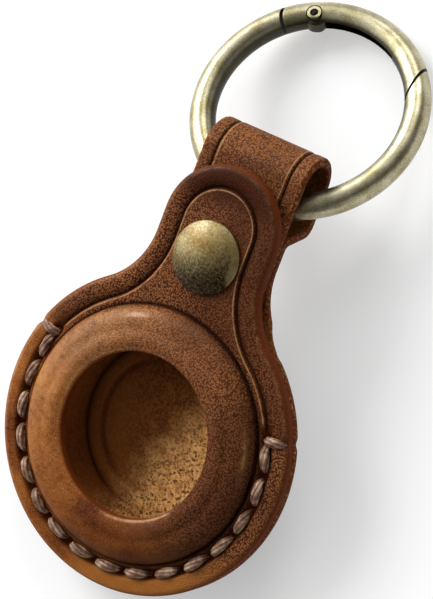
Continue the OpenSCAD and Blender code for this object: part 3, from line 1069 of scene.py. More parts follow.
@dataclass
class FrontLeather:
    """The front leather: rim, moulded dome with its window, neck and tab, in one piece."""

    seam: Seam
    finish: bpy.types.Material
    outline: Outline = field(default_factory=lambda: Outline(24, 18.8, 12, 42.0))
    under: float = -2.15
    dome_r: float = 19.2
    dome_foot: float = 19.85
    shoulder_w: float = 3.6
    shoulder_z: float = 2.45
    top_z: float = 2.8
    lip_drop: float = 0.35
    window_r: float = 12.3
    skin_z: float = 0.9
    cavity_r: float = 16.2
    crease_in: float = 3.3
    groove_in: float = 3.25
    fold_from: float = 5.0
    fold_to: float = 14.0
    fold_row: float = 0.75
    snap_y: float = 28.2
    shank_r: float = 1.35
    socket_r: float = 4.15
    socket_z: float = -1.5
    wall_z: tuple[float, ...] = (1.85, 1.65, 1.45, 1.25)
    lip_round: float = 0.45
    lip_under: float = 0.2
    inner_round: float = 1.2
    top_round: float = 0.8
    top_round_w: float = 0.95
    top_rows: Rows = ((0.2, 7), (0.11, 15))
    low_round: float = 0.3
    low_round_w: float = 0.35

    def crown_z(self, t: float) -> float:
        """Height of the dome's crown, from the shoulder at 0 to the window's lip at 1."""
        rise = (self.top_z - self.shoulder_z) * math.sin(math.pi * 0.5 * min(1.0, t / 0.55))
        return self.shoulder_z + rise - self.lip_drop * ease(0.55, 1.15, t)

    def dome(self) -> Chain:
        """Section of the dome from its foot outside, over the window's lip, to the pocket wall.

        Returns:
            Radius and height of each point.
        """
        shoulder = [
            (self.dome_r - self.shoulder_w * (1 - math.cos(a)), self.shoulder_z * math.sin(a))
            for a in (math.radians(90 * i / 14) for i in range(1, 15))
        ]
        top_in = self.window_r + self.lip_round
        crown = [
            (shoulder[-1][0] + (top_in - shoulder[-1][0]) * t, self.crown_z(t))
            for t in (i / 10 for i in range(1, 11))
        ]
        lip = [
            (top_in - self.lip_round * math.sin(a), self.crown_z(1) - self.lip_round * (1 - math.cos(a)))
            for a in (math.radians(90 * i / 6) for i in range(1, 7))
        ]
        wall = [(self.window_r, z) for z in self.wall_z]
        small, large = self.lip_under, self.inner_round
        lower = arc((self.window_r + small, self.skin_z + small), small, 180, 270, 4)
        inner = arc((self.cavity_r - large, self.skin_z - large), large, 90, 0, 6)
        foot = [
            (self.dome_foot, 0),
            (self.dome_foot - 0.18, -0.01),
            (self.dome_foot - 0.34, -0.06),
            (self.dome_r + 0.14, -0.16),
            (self.dome_r + 0.02, -0.16),
        ]
        outside = foot + shoulder + crown + lip
        skin = [(14, self.skin_z)]
        pocket = [(self.cavity_r, -1.2), (self.cavity_r, self.under)]
        return outside + wall + lower + skin + inner + pocket

    def relief(self, x: float, y: float) -> float:
        """How far the upper face is pressed down or stands up at a point.

        Args:
            x: The point's x.
            y: The point's y.

        Returns:
            The rise, negative where it is pressed.
        """
        depth = self.outline.depth(x, y)
        sewn = self.seam.sewn(y)
        line = depth - self.crease_in
        crease = -0.3 * bell(line, 0.2) - 0.3 * bell(line, 1.0 if line < 0 else 0.22)
        crease += 0.1 * bell(line - 0.5, 0.24)
        across = depth - self.groove_in
        groove = -0.62 * math.exp(-((across / 0.72) ** 4)) + 0.05 * bell(across + 1.3, 0.5)
        pillow = 0.08 * bell(depth - 1.9, 0.9)
        pit = -1.0 * self.seam.pit(x, y, 1.0, 0.55)
        wrap = -0.5 * bell(self.seam.beside_wrap(x, y), 0.5) * ease(19.0, 19.9, abs(x))
        wave = 0.05 * noise.noise(Vector((x * 0.22, y * 0.22, 3.1)))
        pressed = min(crease * (1 - sewn) + groove * sewn, wrap)
        return pressed + pillow + pit + wave * ease(0, 1.5, depth)

    def mesh(self) -> bmesh.types.BMesh:
        """Builds the flat leather with its relief and its masks.

        Returns:
            The mesh, in the flat holder's millimetres.
        """
        bm = bmesh.new()
        turned(bm, self.dome(), 360)
        snap = Vector((0, self.snap_y, 0))
        shank = [(self.shank_r, 0), (self.shank_r, self.socket_z)]
        socket = [(self.socket_r, self.socket_z), (self.socket_r, self.under)]
        turned(bm, shank + socket, 48, snap)
        bottom, top = self.outline.blank(bm, self.under + self.low_round, -self.top_round)
        round_over(bm, top, self.top_round_w, self.top_round, 6)
        rows_in(bm, top, self.top_rows)
        round_over(bm, bottom, self.low_round_w, -self.low_round, 3)
        foot = ring_edges(bm, self.dome_foot, 0, ORIGIN)
        let_in(bm, [top], foot + ring_edges(bm, self.shank_r, 0, snap))
        mouth = ring_edges(bm, self.cavity_r, self.under, ORIGIN)
        let_in(bm, [bottom], mouth + ring_edges(bm, self.socket_r, self.under, snap))
        self.fold_rows(bm)
        for v in bm.verts:
            x, y = v.co.x, v.co.y
            above = ease(-0.75, -0.1, v.co.z)
            if above and math.hypot(x, y) > self.dome_foot - 0.05:
                v.co.z += above * self.relief(x, y)
            self.seam.draw_in(v, self.outline)
        paint_all(bm, self.edge, self.press, self.flesh, self.rub)
        return bm

    def fold_rows(self, bm: bmesh.types.BMesh) -> None:
        """Cuts the rough side into rows across the fold.

        Args:
            bm: The mesh.
        """
        y = self.fold_from
        while y < self.fold_to:
            low = [f for f in bm.faces if all(v.co.z < self.under + ON_CIRCLE for v in f.verts)]
            edges, points = {e for f in low for e in f.edges}, {v for f in low for v in f.verts}
            cut_across(bm, low + list(edges) + list(points), y)
            y += self.fold_row

    def edge(self, p: Vector) -> float:
        """Where the leather is cut and burnished.

        Args:
            p: The point, in the flat leather's millimetres.

        Returns:
            How strongly, 0 to 1.
        """
        r = math.hypot(p.x, p.y)
        if r < self.window_r + 0.5:
            return 0.9 * (1 - ease(1.95, 2.35, p.z))
        if r < self.dome_foot:
            return 0.0
        return 1 - ease(0.05, 0.4, self.outline.depth(p.x, p.y)) * ease(-0.8, -0.45, p.z)

    def press(self, p: Vector) -> float:
        """Where the leather is pressed in and dark, with painted shade in its groove and stitch holes.

        Args:
            p: The point, in the flat leather's millimetres.

        Returns:
            How strongly, 0 to 1.
        """
        r = math.hypot(p.x, p.y)
        if r < self.dome_foot:
            # Painted shade in the crease at the dome's foot.
            return bell(r - self.dome_r - 0.08, 0.22) if -0.3 < p.z < 0.7 else 0.0
        if p.z < -1.2:
            return 0.0
        depth = self.outline.depth(p.x, p.y)
        sewn = self.seam.sewn(p.y)
        off = depth - self.crease_in
        # Dark crease line, partly painted shade.
        line = max(bell(off, 0.2), 0.5 * bell(off, 0.8) if off < 0 else 0) * (1 - sewn)
        # Painted shade in the stitch holes.
        hole = self.seam.pit(p.x, p.y, 1.1, 0.75)
        return max(line, hole, 0.6 * sewn * bell(depth - self.groove_in, 0.75))

    def flesh(self, p: Vector) -> float:
        """Where the rough side shows."""
        inside = math.hypot(p.x, p.y) < self.cavity_r + 0.1 and p.z < self.skin_z + 0.05
        return 1.0 if inside or p.z < self.under + 0.2 else 0.0

    def rub(self, p: Vector) -> float:
        """Where painted light, highlights and sheen go, and where the leather is rubbed light.

        Args:
            p: The point, in the flat leather's millimetres.

        Returns:
            How strongly, 0 to 1.
        """
        r = math.hypot(p.x, p.y)
        # Painted light, stronger on the side that faces the light.
        lit = ease(-16, 18, p.y * 0.42 - p.x * 0.9)
        if r < self.dome_foot:
            # Painted highlight along the window's lip, on its lower right.
            lip = bell(r - self.window_r - 0.35, 0.42) * ease(1.6, 2.2, p.z)
            lip *= ease(0.72, 0.95, (p.x * 0.47 - p.y * 0.88) / r)
            # Painted highlight on the dome's upper shoulder.
            crown = bell(r - 17.6, 0.8) * bell((p.x + 6.3) / r, 0.3) if p.y > 0 else 0.0
            # Painted sheen on the dome's right shoulder.
            sheen = bell(r - 18.1, 0.6) * bell((p.y - 5) / r, 0.35) * 0.9 if p.x > 0 else 0.0
            return max((0.12 + 0.72 * lit) * ease(0.3, 1.6, p.z), lip, crown, sheen)
        if p.z <= -1:
            return 0.0
        depth = self.outline.depth(p.x, p.y)
        sewn = self.seam.sewn(p.y)
        # Painted highlight along the crease's raised lip.
        lip = bell(depth - self.crease_in - 0.45, 0.2) * (1 - sewn)
        # Painted highlight along the rounded edge, and painted light beside the seam.
        rim = bell(depth - 0.5, 0.4) * (0.7 - 0.25 * sewn)
        return max(lip, rim + 0.4 * sewn * lit * (1 - ease(1.5, 2.6, depth)))

    def build(self, seat: Seat) -> bpy.types.Object:
        """Makes the piece.

        Args:
            seat: How the holder lies.

        Returns:
            The finished piece.
        """
        made = finished(self.mesh(), "front_leather", seat.holder, self.finish, 50)
        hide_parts("front_pocket", "front_flap")
        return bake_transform(made)


class Track:
    """A line in side view that a flat blank is bent along."""

    def __init__(self, keys: Sequence[float], points: Chain) -> None:
        """Takes the line's points and the flat length at which each is reached.

        Args:
            keys: The flat lengths.
            points: The line's points.
        """
        self.keys = list(keys)
        self.points = [Vector(p) for p in points]
        last = len(points) - 1
        self.sides = []
        for i in range(last + 1):
            along = (self.points[min(i + 1, last)] - self.points[max(i - 1, 0)]).normalized()
            self.sides.append(Vector((-along.y, along.x)))

    @classmethod
    def through(cls, points: Chain) -> "Track":
        """Lays a track through points, with its lengths measured along them.

        Args:
            points: The line's points.

        Returns:
            The track.
        """
        keys = [0.0]
        for a, b in zip(points, points[1:]):
            keys.append(keys[-1] + math.hypot(b[0] - a[0], b[1] - a[1]))
        return cls(keys, points)

    def at(self, key: float) -> tuple[Vector, Vector]:
        """The point and the outward side at a flat length.

        Args:
            key: The flat length.

        Returns:
            The point, and the side as a unit vector.
        """
        keys = self.keys
        key = min(max(key, keys[0]), keys[-1])
        i = min(bisect_right(keys, key), len(keys) - 1)
        share = (key - keys[i - 1]) / (keys[i] - keys[i - 1])
        side = self.sides[i - 1].lerp(self.sides[i], share).normalized()
        return self.points[i - 1].lerp(self.points[i], share), side

    def bend(self, bm: bmesh.types.BMesh, level: float) -> None:
        """Bends a mesh that lies along +Y, with its middle at height level, along the line.

        Args:
            bm: The mesh.
            level: Height of the flat mesh's middle.
        """
        for v in bm.verts:
            if v.co.y >= self.keys[0]:
                point, side = self.at(v.co.y)
                place = point + side * (v.co.z - level)
                v.co = Vector((v.co.x, place.x, place.y))


# The rings that the mould leaves on the pocket's floor: radius, and height above the floor.
FLOOR_MARKS: Chain = [
    (13.7, 0.0),
    (13.3, -0.04),
    (12.9, 0.04),
    (12.4, 0.14),
    (11.8, 0.16),
    (11.2, 0.1),
    (10.8, -0.1),
    (10.4, -0.2),
    (9.8, -0.16),
    (8.8, -0.1),
    (6, -0.06),
    (3, -0.06),
    (0.4, -0.06),
]


@dataclass
class BackLeather:
    """The back leather: moulded dish, rim, and the strap that folds round the ring."""

    seam: Seam
    finish: bpy.types.Material
    disc_r: float = 24.0
    strap_w: float = 17.2
    fillet: float = 12.0
    thickness: float = 1.5
    rim_mid: float = -2.95
    inner_mid: float = -5.4
    end_mid: float = -3.85
    bend_r: float = 1.5
    near_start: float = 18.3
    near_end: float = 22.6
    far_start: float = 32.7
    far_end: float = 36.8
    fold_y: float = 42.5431
    loop_r: float = 4.04781
    loop_z: float = -7.89781
    dish_r: float = 17.7
    dish_round: float = 3.6
    floor_z: float = -7.2
    bottom_z: float = -8.7
    cavity_r: float = 16.2
    crease_in: float = 2.3
    snap_y: float = 28.2
    post_r: float = 1.25
    flange_r: float = 3.95
    flange_in: float = 0.2
    base_r: float = 4.25
    base_in: float = 0.3
    row_from: float = 18.25
    dish_bend: float = 0.5
    mouth_round: float = 0.3
    hub_r: float = 0.4
    clear: float = 4.4
    pitch: float = 1.2
    low_round: float = 0.4
    low_round_w: float = 0.5
    low_rows: Rows = ((0.2, 5), (0.12, 20))
    high_round: float = 0.35
    high_round_w: float = 0.4
    high_rows: Rows = ((1.0, 3),)
    wide: float = 30.0
    flat_area: float = 50.0

    @property
    def low(self) -> float:
        """Height of the flat leather's grain side, which is underneath."""
        return self.rim_mid - self.thickness / 2

    @property
    def high(self) -> float:
        """Height of the flat leather's rough side."""
        return self.rim_mid + self.thickness / 2

    @property
    def dish_foot(self) -> float:
        """Radius at which the dish rises out of the rim."""
        return self.dish_r + self.dish_bend

    @property
    def lap_y(self) -> float:
        """Flat length at which the strap comes round onto itself."""
        return self.fold_y + math.pi * self.loop_r

    @property
    def end_y(self) -> float:
        """Flat length of the strap's end."""
        return self.lap_y + self.fold_y - self.near_end

    @property
    def top_snap_y(self) -> float:
        """Flat length of the stud's hole in the upper layer."""
        return self.lap_y + self.fold_y - self.snap_y

    @cached_property
    def outline(self) -> Outline:
        """Outline of the flat blank, before the strap is cut to length."""
        return Outline(self.disc_r, self.strap_w, self.fillet, self.end_y + self.strap_w)

    def step(self, p: tuple[float, float], q: tuple[float, float]) -> Chain:
        """Points of a step down from p to q with two bends.

        Args:
            p: Where it starts.
            q: Where it ends.

        Returns:
            The points.
        """
        run, drop = q[0] - p[0], p[1] - q[1] - 2 * self.bend_r
        turn = math.degrees(math.atan2(drop, run) + math.asin(2 * self.bend_r / math.hypot(run, drop)))
        down = arc((p[0], p[1] - self.bend_r), self.bend_r, 90, 90 - turn, 8)
        up = arc((q[0], q[1] + self.bend_r), self.bend_r, 270 - turn, 270, 8)
        return down + up

    def track(self) -> Track:
        """The strap's line in side view.

        Returns:
            The line of the leather's middle.
        """
        loop_low = self.loop_z - self.loop_r
        near = self.step((self.near_start, self.rim_mid), (self.near_end, self.inner_mid))
        far = self.step((self.far_start, self.inner_mid), (self.far_end, loop_low))
        flat = [(self.row_from, self.rim_mid), *near, *far]
        loop = arc((self.fold_y, self.loop_z), self.loop_r, -90, 90, 40)
        lap = [(y, self.end_mid) for y in (self.far_start, self.snap_y, self.near_end)]
        keys = [y for y, _ in flat]
        keys += [self.fold_y + math.pi * self.loop_r * i / 40 for i in range(41)]
        keys += [self.lap_y + self.fold_y - y for y, _ in lap]
        return Track(keys, flat + loop + lap)

    def dish_outside(self) -> Chain:
        """Section of the dish's outer face from the rim to its middle.

        Returns:
            Radius and height of each point.
        """
        bend = arc((self.dish_foot, self.low - self.dish_bend), self.dish_bend, 90, 180, 5)
        centre = (self.dish_r - self.dish_round, self.bottom_z + self.dish_round)
        corner = arc(centre, self.dish_round, 0, -90, 12)
        return bend + corner + [(r, self.bottom_z) for r in (10, 5, self.hub_r)]

    def dish_inside(self) -> Chain:
        """Section of the pocket from its mouth to its middle, with the marks of the mould.

        Returns:
            Radius and height of each point.
        """
        small = self.mouth_round
        mouth = arc((self.cavity_r + small, self.high - small), small, 90, 180, 3)
        centre = (self.dish_r - self.dish_round, self.bottom_z + self.dish_round)
        corner = arc(centre, self.dish_round - self.thickness, 0, -90, 8)
        return mouth + corner + [(r, self.floor_z + rise) for r, rise in FLOOR_MARKS]

    def rows(self) -> list[float]:
        """Flat lengths at which the strap is cut into rows so that it bends.

        Returns:
            The flat lengths in order.
        """
        holes = (self.snap_y, self.top_snap_y)
        keys = [k for k in self.track().keys if all(abs(k - at) > self.clear for at in holes)]
        keys = sorted(keys + [at + side * self.clear for at in holes for side in (-1, 1)])
        rows = set(keys)
        for a, b in zip(keys, keys[1:]):
            if all(abs((a + b) / 2 - at) > self.clear for at in holes):
                parts = max(1, round((b - a) / self.pitch))
                rows |= {a + (b - a) * i / parts for i in range(1, parts)}
        return sorted({round(k, 4) for k in rows if k < self.end_y - 0.3})

    def crease_at(self, y: float) -> float:
        """How far the crease lies in from the edge: along the seam first, then nearer the edge."""
        start = self.seam.from_edge
        return start + (self.crease_in - start) * ease(12, 28, y)

    def relief(self, x: float, y: float) -> float:
        """How far the grain side is pressed in at a point.

        Args:
            x: The point's x.
            y: The point's y.

        Returns:
            The rise, negative where it is pressed.
        """
        depth = self.outline.depth(x, y)
        sewn = self.seam.sewn(y)
        line = depth - self.crease_at(y)
        crease = -0.26 * bell(line, 0.17) - 0.08 * bell(line, 0.5) + 0.04 * bell(line - 0.5, 0.25)
        groove = -0.45 * math.exp(-(((depth - self.seam.from_edge) / 0.62) ** 4))
        pit = -0.5 * self.seam.pit(x, y, 0.6, 0.36)
        return crease * (1 - sewn) + groove * sewn + pit

    def stud_hole(self, bm: bmesh.types.BMesh, y: float, seat_r: float, seat_in: float) -> None:
        """Adds the wall of a hole for the stud's post, with a sunk seat on the grain side.

        Args:
            bm: The mesh.
            y: Flat length of its centre.
            seat_r: Radius of the seat.
            seat_in: How deep the seat is sunk.
        """
        step = self.low + seat_in
        seat = [(seat_r, self.low), (seat_r, step)]
        turned(bm, seat + [(self.post_r, step), (self.post_r, self.high)], 48, Vector((0, y, 0)))

    def mesh(self) -> bmesh.types.BMesh:
        """Builds the blank flat, lets the dish in, paints it, and bends the strap.

        Returns:
            The mesh, in the flat holder's millimetres.
        """
        bm = bmesh.new()
        turned(bm, self.dish_outside(), 240)
        turned(bm, self.dish_inside(), 240)
        for z in (self.bottom_z, self.floor_z + FLOOR_MARKS[-1][1]):
            bmesh.ops.contextual_create(bm, geom=ring_edges(bm, self.hub_r, z, ORIGIN))
        self.stud_hole(bm, self.snap_y, self.flange_r, self.flange_in)
        self.stud_hole(bm, self.top_snap_y, self.base_r, self.base_in)
        low, high = self.low + self.low_round, self.high - self.high_round
        bottom, top = self.outline.blank(bm, low, high)
        round_over(bm, bottom, self.low_round_w, -self.low_round, 4)
        rows_in(bm, bottom, self.low_rows)
        round_over(bm, top, self.high_round_w, self.high_round, 3)
        rows_in(bm, top, self.high_rows)
        for y in self.rows():
            cut_across(bm, bm.verts[:] + bm.edges[:] + bm.faces[:], y)
        cut_across(bm, bm.verts[:] + bm.edges[:] + bm.faces[:], self.end_y, clear_outer=True)
        end = [e for e in bm.edges if e.is_boundary and self.at_end(e)]
        bmesh.ops.contextual_create(bm, geom=end)
        self.open_faces(bm)
        for v in bm.verts:
            if v.co.z < self.low + 0.25 and math.hypot(v.co.x, v.co.y) > self.dish_foot:
                v.co.z -= self.relief(v.co.x, v.co.y)
        paint_all(bm, self.edge, self.press, self.flesh, self.rub)
        for v in bm.verts:
            self.seam.draw_in(v, self.outline)
        self.track().bend(bm, self.rim_mid)
        return bm

    def at_end(self, edge: bmesh.types.BMEdge) -> bool:
        """Whether an edge lies across the strap's end."""
        return all(abs(v.co.y - self.end_y) < SAME_HEIGHT for v in edge.verts)

    def open_faces(self, bm: bmesh.types.BMesh) -> None:
        """Opens the flat faces for the dish and for the two holes of the stud.

        Args:
            bm: The mesh.
        """
        narrow = self.clear + ON_CIRCLE
        places = [
            (0, self.low, self.dish_foot, self.wide),
            (0, self.high, self.cavity_r + self.mouth_round, self.wide),
            (self.snap_y, self.low, self.flange_r, narrow),
            (self.snap_y, self.high, self.post_r, narrow),
            (self.top_snap_y, self.low, self.base_r, narrow),
            (self.top_snap_y, self.high, self.post_r, narrow),
        ]
        for y, z, radius, reach in places:
            loop = ring_edges(bm, radius, z, Vector((0, y, 0)))
            faces = [
                f
                for f in bm.faces
                if all(abs(v.co.z - z) < SAME_HEIGHT and abs(v.co.y - y) < reach for v in f.verts)
                and f.calc_area() > self.flat_area
            ]
            let_in(bm, faces, loop)

    def edge(self, p: Vector) -> float:
        """Where the flat leather is cut and burnished.

        Args:
            p: The point, in the flat leather's millimetres.

        Returns:
            How strongly, 0 to 1.
        """
        if math.hypot(p.x, p.y) < self.dish_foot:
            return 0.0
        return 1 - ease(0.2, 0.6, self.outline.depth(p.x, p.y))

    def press(self, p: Vector) -> float:
        """Where the flat leather is pressed in and dark, with painted shade in its groove and stitch
        holes.

        Args:
            p: The point, in the flat leather's millimetres.

        Returns:
            How strongly, 0 to 1.
        """
        r = math.hypot(p.x, p.y)
        if r < self.cavity_r:
            # Dark lines on the pocket floor's steps, on its left side only.
            marks = (bell(r - 13.3, 0.4) + bell(r - 10.6, 0.35) * 0.85) * ease(1, 8, -p.x)
            return marks if p.z > self.bottom_z + 0.5 else 0.0
        if r < self.dish_foot or p.z > self.low + 0.5:
            return 0.0
        depth = self.outline.depth(p.x, p.y)
        sewn = self.seam.sewn(p.y)
        line = bell(depth - self.crease_at(p.y), 0.2) * (1 - sewn)
        # Painted shade along the seam's groove and in the stitch holes.
        groove = 0.4 * sewn * bell(depth - self.seam.from_edge, 0.6)
        return max(line, self.seam.pit(p.x, p.y, 0.7, 0.5), groove)

    def flesh(self, p: Vector) -> float:
        """Where the rough side shows."""
        inside = math.hypot(p.x, p.y) < self.cavity_r + 0.05 and p.z > self.bottom_z + 0.5
        return 1.0 if inside else ease(self.high - 0.2, self.high - 0.02, p.z)

    def rub(self, p: Vector) -> float:
        """Where painted highlights and sheen go on the flat leather, and where it is rubbed light.

        Args:
            p: The point, in the flat leather's millimetres.

        Returns:
            How strongly, 0 to 1.
        """
        if p.z > self.low + 0.5 or math.hypot(p.x, p.y) < self.dish_r:
            return 0.0
        depth = self.outline.depth(p.x, p.y)
        # Painted highlight along the crease's raised lip.
        lip = bell(depth - self.crease_in - 0.5, 0.2) * ease(26, 30, p.y)
        # Painted sheen on the top of the loop.
        loop_sheen = 0.4 * bell(p.y - self.lap_y + 1.5, 6.0)
        # Painted highlight along the rounded edge.
        return max(bell(depth - 0.4, 0.35) * 0.7, lip, loop_sheen)

    def build(self, seat: Seat) -> bpy.types.Object:
        """Makes the piece, which rides on the holder.

        Args:
            seat: How the holder lies.

        Returns:
            The finished piece.
        """
        made = finished(self.mesh(), "back_leather", seat.holder, self.finish, 50)
        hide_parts("back_panel")
        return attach(made, "holder")


@dataclass(frozen=True)
class Swell:
    """How the thread's thickness changes along a stitch."""

    fat: float
    ends: float = 0.95
    peak: float = 0.5

    def at(self, share: float) -> float:
        """How much thicker than the thread it is, at a share of its length.

        Args:
            share: The share, 0 to 1.

        Returns:
            The thickness, where 1 is the thread's own.
        """
        rise = ease(self.peak - 0.38, self.peak - 0.08, share)
        fall = ease(self.peak + 0.38, self.peak + 0.08, share)
        return self.ends + (self.fat - self.ends) * (rise * fall)


@dataclass
class SeamThread:
    """The saddle stitch round the pocket, with a wrap over the edge at each end."""

    seam: Seam
    finish: bpy.types.Material
    radius: float = 0.5
    lobes: int = 6
    plump: float = 0.87
    round_steps: int = 36
    long_step: float = 0.16
    twist: float = 17.0
    front_z: float = 0.06
    back_z: float = -3.76
    middle_z: float = -1.85
    hole_share: float = 1.7
    bend_r: float = 0.85
    leg: float = 0.3
    bulge: float = 0.14
    front: Swell = Swell(1.5)
    back: Swell = Swell(1.3)
    over: Swell = Swell(1.45, 0.8, 0.22)

    def section(self, bm: bmesh.types.BMesh) -> list[Any]:
        """Adds the thread's round section, with a lobe for each ply, square to +Y.

        Args:
            bm: The mesh.

        Returns:
            Its points and edges.
        """
        ply = bm.verts.layers.float.new(Mask.PLY.value)
        points = []
        for i in range(self.round_steps):
            a = math.tau * i / self.round_steps
            lobe = 0.5 + 0.5 * math.cos(self.lobes * a)
            r = self.radius * (self.plump + (1 - self.plump) * lobe**0.6)
            v = bm.verts.new((r * math.cos(a), 0, r * math.sin(a)))
            v[ply] = lobe**0.7
            points.append(v)
        return points + [bm.edges.new(pair) for pair in zip(points, points[1:] + points[:1])]

    def strand(self, bm: bmesh.types.BMesh, track: Track, place: Matrix, swell: Swell) -> None:
        """Adds one twisted strand along a track.

        Args:
            bm: The mesh to add it to.
            track: Its line in side view, along +Y.
            place: Where the line lies on the holder.
            swell: How its thickness changes.
        """
        strand = bmesh.new()
        length = track.keys[-1]
        steps = max(12, round(length / self.long_step))
        bmesh.ops.spin(
            strand,
            geom=self.section(strand),
            cent=ORIGIN,
            axis=(0, 1, 0),
            dvec=(0, length / steps, 0),
            angle=math.tau * length / self.twist,
            steps=steps,
        )
        bmesh.ops.holes_fill(strand, edges=[e for e in strand.edges if e.is_boundary], sides=0)
        for v in strand.verts:
            thick = swell.at(v.co.y / length)
            v.co.x *= thick
            v.co.z *= thick
        track.bend(strand, 0)
        strand.transform(place)
        scratch = bpy.data.meshes.new("strand")
        strand.to_mesh(scratch)
        strand.free()
        bm.from_mesh(scratch)
        bpy.data.meshes.remove(scratch)

    def staple(self, span: float, top: float, deep: float) -> Track:
        """Side view of one stitch: up out of a hole, over, and down the next.

        Args:
            span: Its width between the holes.
            top: Its height on the leather.
            deep: Height of its ends in the holes.

        Returns:
            The line.
        """
        left = arc((-span / 2 + self.bend_r, top - self.bend_r), self.bend_r, 180, 90, 6)
        right = arc((span / 2 - self.bend_r, top - self.bend_r), self.bend_r, 90, 0, 6)
        run = right[0][0] - left[-1][0]
        shares = [i / 8 for i in range(1, 8)]
        crown = [(left[-1][0] + run * s, top + self.bulge * math.sin(math.pi * s)) for s in shares]
        return Track.through([(-span / 2, deep), *left, *crown, *right, (span / 2, deep)])

    def mesh(self) -> bmesh.types.BMesh:
        """Builds all the stitches of both faces and the two wraps.

        Returns:
            The mesh, in the flat holder's millimetres.
        """
        bm = bmesh.new()
        bm.verts.layers.float.new(Mask.PLY.value)
        seam = self.seam
        half_turn = math.radians(seam.pitch_turn / 2)
        span = 2 * seam.stitch_r * math.sin(half_turn) - self.hole_share
        out = seam.stitch_r * math.cos(half_turn)
        for i in range(seam.count):
            turn = math.radians(seam.end_turn - (i + 0.5) * seam.pitch_turn)
            at = Matrix.Rotation(turn, 4, "Z") @ Matrix.Translation((out, 0, 0))
            lift = 0.07 * math.sin(2.1 * i)
            skew = Matrix.Rotation(math.radians(3.5 * math.sin(1.7 * i + 0.6) + 3), 4, "Z")
            front = self.staple(span, self.front_z + lift, self.middle_z + self.leg)
            self.strand(bm, front, at @ skew, self.front)
            flip = Matrix.Scale(-1, 4, (0, 0, 1))
            back = self.staple(span, -self.back_z - lift * 0.5, -self.middle_z + self.leg)
            self.strand(bm, back, at @ skew.inverted() @ flip, self.back)
        self.wraps(bm)
        return bm

    def wraps(self, bm: bmesh.types.BMesh) -> None:
        """Adds the wrap over the edge at each end of the seam.

        Args:
            bm: The mesh.
        """
        hole_x = self.seam.holes()[0][0]
        out, high, low = self.seam.wrap_out - 0.9, self.front_z - 0.1, self.back_z
        line = [
            (0, high - 1.6),
            *arc((0.6, high - 0.6), 0.6, 180, 90, 5),
            *arc((out - 1.3, high - 1.3), 1.3, 88, 0, 10),
            *arc((out - 0.9, low + 0.8), 0.85, 0, -90, 8),
            *arc((0.6, low + 0.6), 0.6, 270, 180, 5),
            (0, low + 1.6),
        ]
        for side in (1, -1):
            turn = Matrix.Rotation(math.radians(side * (self.seam.wrap_turn - 90)), 4, "Z")
            place = Matrix.Translation((side * hole_x, self.seam.end_y, 0)) @ turn
            self.strand(bm, Track.through(line), place, self.over)

    def build(self, seat: Seat) -> bpy.types.Object:
        """Makes the piece, which rides on the holder.

        Args:
            seat: How the holder lies.

        Returns:
            The finished piece.
        """
        made = finished(self.mesh(), "seam_stitches", seat.holder, self.finish, 60)
        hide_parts("seam_thread")
        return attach(made, "holder")


@dataclass(frozen=True)
class Lamp:
    """A soft square lamp that faces the holder."""

    name: str
    place: tuple[float, float, float]
    power: float
    size: float = 0.6

    def hang(self, target: Vector) -> None:
        """Hangs the lamp.

        Args:
            target: What the lamp faces.
        """
        data = bpy.data.lights.new(self.name, "AREA")
        data.size = self.size
        data.energy = self.power
        made = bpy.data.objects.new(self.name, data)
        made.location = self.place
        made.rotation_mode = "QUATERNION"
        made.rotation_quaternion = (target - Vector(self.place)).to_track_quat("-Z", "Y")
        bpy.context.collection.objects.link(made)


@dataclass(frozen=True)
class Glow:
    """A soft light area far off, round one direction.

    Edge and core are cosines of the angle from it, where the light begins and where it is full.
    """

    towards: tuple[float, float, float]
    edge: float
    core: float
    strength: float

    def level(self, g: Graph, way: Value) -> Value:
        """Its light along a direction.

        Args:
            g: The world's nodes.
            way: The direction.

        Returns:
            The light's strength.
        """
        dot = {"operation": "DOT_PRODUCT"}
        facing = g.node("ShaderNodeVectorMath", dot, {0: way, 1: self.towards}, "Value")
        return facing.band(self.edge, self.core) * self.strength


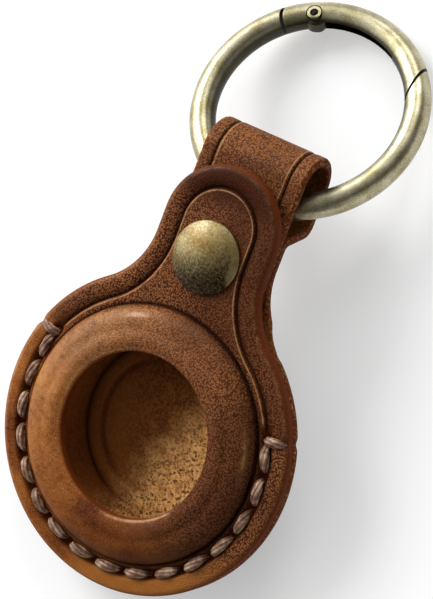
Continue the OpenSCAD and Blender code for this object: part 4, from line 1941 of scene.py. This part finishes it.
@dataclass(frozen=True)
class Studio:
    """Plain white sweep, soft lamps, and the camera at the photograph's angle.

    The camera's eye, right and ahead are in the flat holder's axes, as fitted to the photograph,
    and its focus is in the picture's own pixels.
    """

    target: tuple[float, float, float] = (0.0, 0.0, 0.008)
    floor_r: float = 3.0
    curve_r: float = 0.5
    wall_h: float = 0.55
    near_r: float = 0.4
    hub_r: float = 0.02
    dim: float = 0.06
    lamps: tuple[Lamp, ...] = (
        Lamp("key_lamp", (-1.1, 0.55, 0.85), 11),
        Lamp("back_lamp", (-0.15, 1.25, 0.8), 6),
    )
    glows: tuple[Glow, ...] = (
        Glow((-0.925, 0.19, 0.33), -0.35, 0.95, 0.62),
        Glow((-0.925, 0.19, 0.33), 0.76, 0.98, 3.6),
        Glow((0.9, -0.28, 0.33), 0.84, 0.97, 0.6),
    )
    eye: tuple[float, float, float] = (122.2, 80.0, 256.3)
    right: tuple[float, float, float] = (0.819, 0.349, -0.456)
    ahead: tuple[float, float, float] = (-0.411, -0.197, -0.890)
    focus: float = 2000
    picture_h: float = 599
    sensor: float = 36

    def sweep(self) -> None:
        """Makes the floor with its wall all round."""
        bm = bmesh.new()
        flat_r = self.floor_r - self.curve_r
        bend = arc((flat_r, self.curve_r), self.curve_r, -90, 0, 16)
        floor = [(self.hub_r, 0), (self.near_r, 0), (flat_r, 0)]
        turned(bm, floor + bend + [(self.floor_r, self.wall_h)], 96)
        middle = [e for e in bm.edges if all(v.co.length < self.hub_r + ON_CIRCLE for v in e.verts)]
        bmesh.ops.contextual_create(bm, geom=middle)
        made = finished(bm, "studio_floor", Matrix.Identity(4), Paper().material(), 60)

    def light(self) -> None:
        """Hangs the lamps and sets the world, which is white to the eye."""
        for lamp in self.lamps:
            lamp.hang(Vector(self.target))
        world = bpy.data.worlds.new("studio_world")
        bpy.context.scene.world = world
        g = Graph(world)
        way = g.node("ShaderNodeTexCoord", out="Generated")
        level = sum((glow.level(g, way) for glow in self.glows), self.dim)
        seen = g.node("ShaderNodeLightPath", out="Is Camera Ray")
        back = g.node("ShaderNodeBackground", {}, {"Color": (1, 1, 1), "Strength": level.most(seen)})
        g.node("ShaderNodeOutputWorld", {}, {"Surface": back})
        bpy.context.scene.view_settings.view_transform = "Standard"

    def camera(self, seat: Seat) -> None:
        """Sets the camera where the photograph was taken from.

        Args:
            seat: How the holder lies.
        """
        turn = seat.holder.to_3x3().normalized()
        ahead = Vector(self.ahead).normalized()
        right = Vector(self.right)
        right = (right - ahead * right.dot(ahead)).normalized()
        up = right.cross(ahead)
        axes = Matrix((turn @ right, turn @ up, turn @ -ahead)).transposed()
        data = bpy.data.cameras.new("camera")
        data.sensor_width = self.sensor
        data.lens = self.sensor * self.focus / self.picture_h
        data.clip_start = 0.01
        made = bpy.data.objects.new("camera", data)
        place = seat.holder @ Vector(self.eye)
        made.matrix_world = Matrix.Translation(place) @ axes.to_4x4()
        bpy.context.collection.objects.link(made)
        bpy.context.scene.camera = made


def dress(finishes: dict[bpy.types.Material, tuple[str, ...]]) -> None:
    """Gives the frame's own pieces their finishes.

    Args:
        finishes: The pieces' names by their finish.
    """
    for finish, names in finishes.items():
        for name in names:
            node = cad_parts[name]
            node.data.materials.clear()
            node.data.materials.append(finish)
            log.info("%s: dressed", name)


def main() -> None:
    """Builds the pieces in order and reports each one."""
    logging.basicConfig(level=logging.INFO, format="%(message)s")
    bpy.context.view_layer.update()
    seat = Seat()
    seam = Seam()
    studio = Studio()
    studio.camera(seat)
    studio.sweep()
    studio.light()
    builders = [
        FrontLeather(seam, Leather("chestnut_leather").material()),
        BackLeather(seam, Leather("back_leather_finish", raw=1.0).material()),
        SeamThread(seam, WaxedThread().material()),
    ]
    for builder in builders:
        piece = builder.build(seat)
        log.info("%s: %d faces", piece.name, len(piece.data.polygons))
    dress(
        {
            RingBrass("ring_brass").material(): ("ring_body", "ring_gate", "gate_pin"),
            CapBrass("cap_brass").material(): ("snap_cap", "snap_socket", "snap_stud", "stud_post"),
            SpringSteel().material(): ("socket_spring", "gate_spring"),
        }
    )


if __name__ == "__main__":
    main()
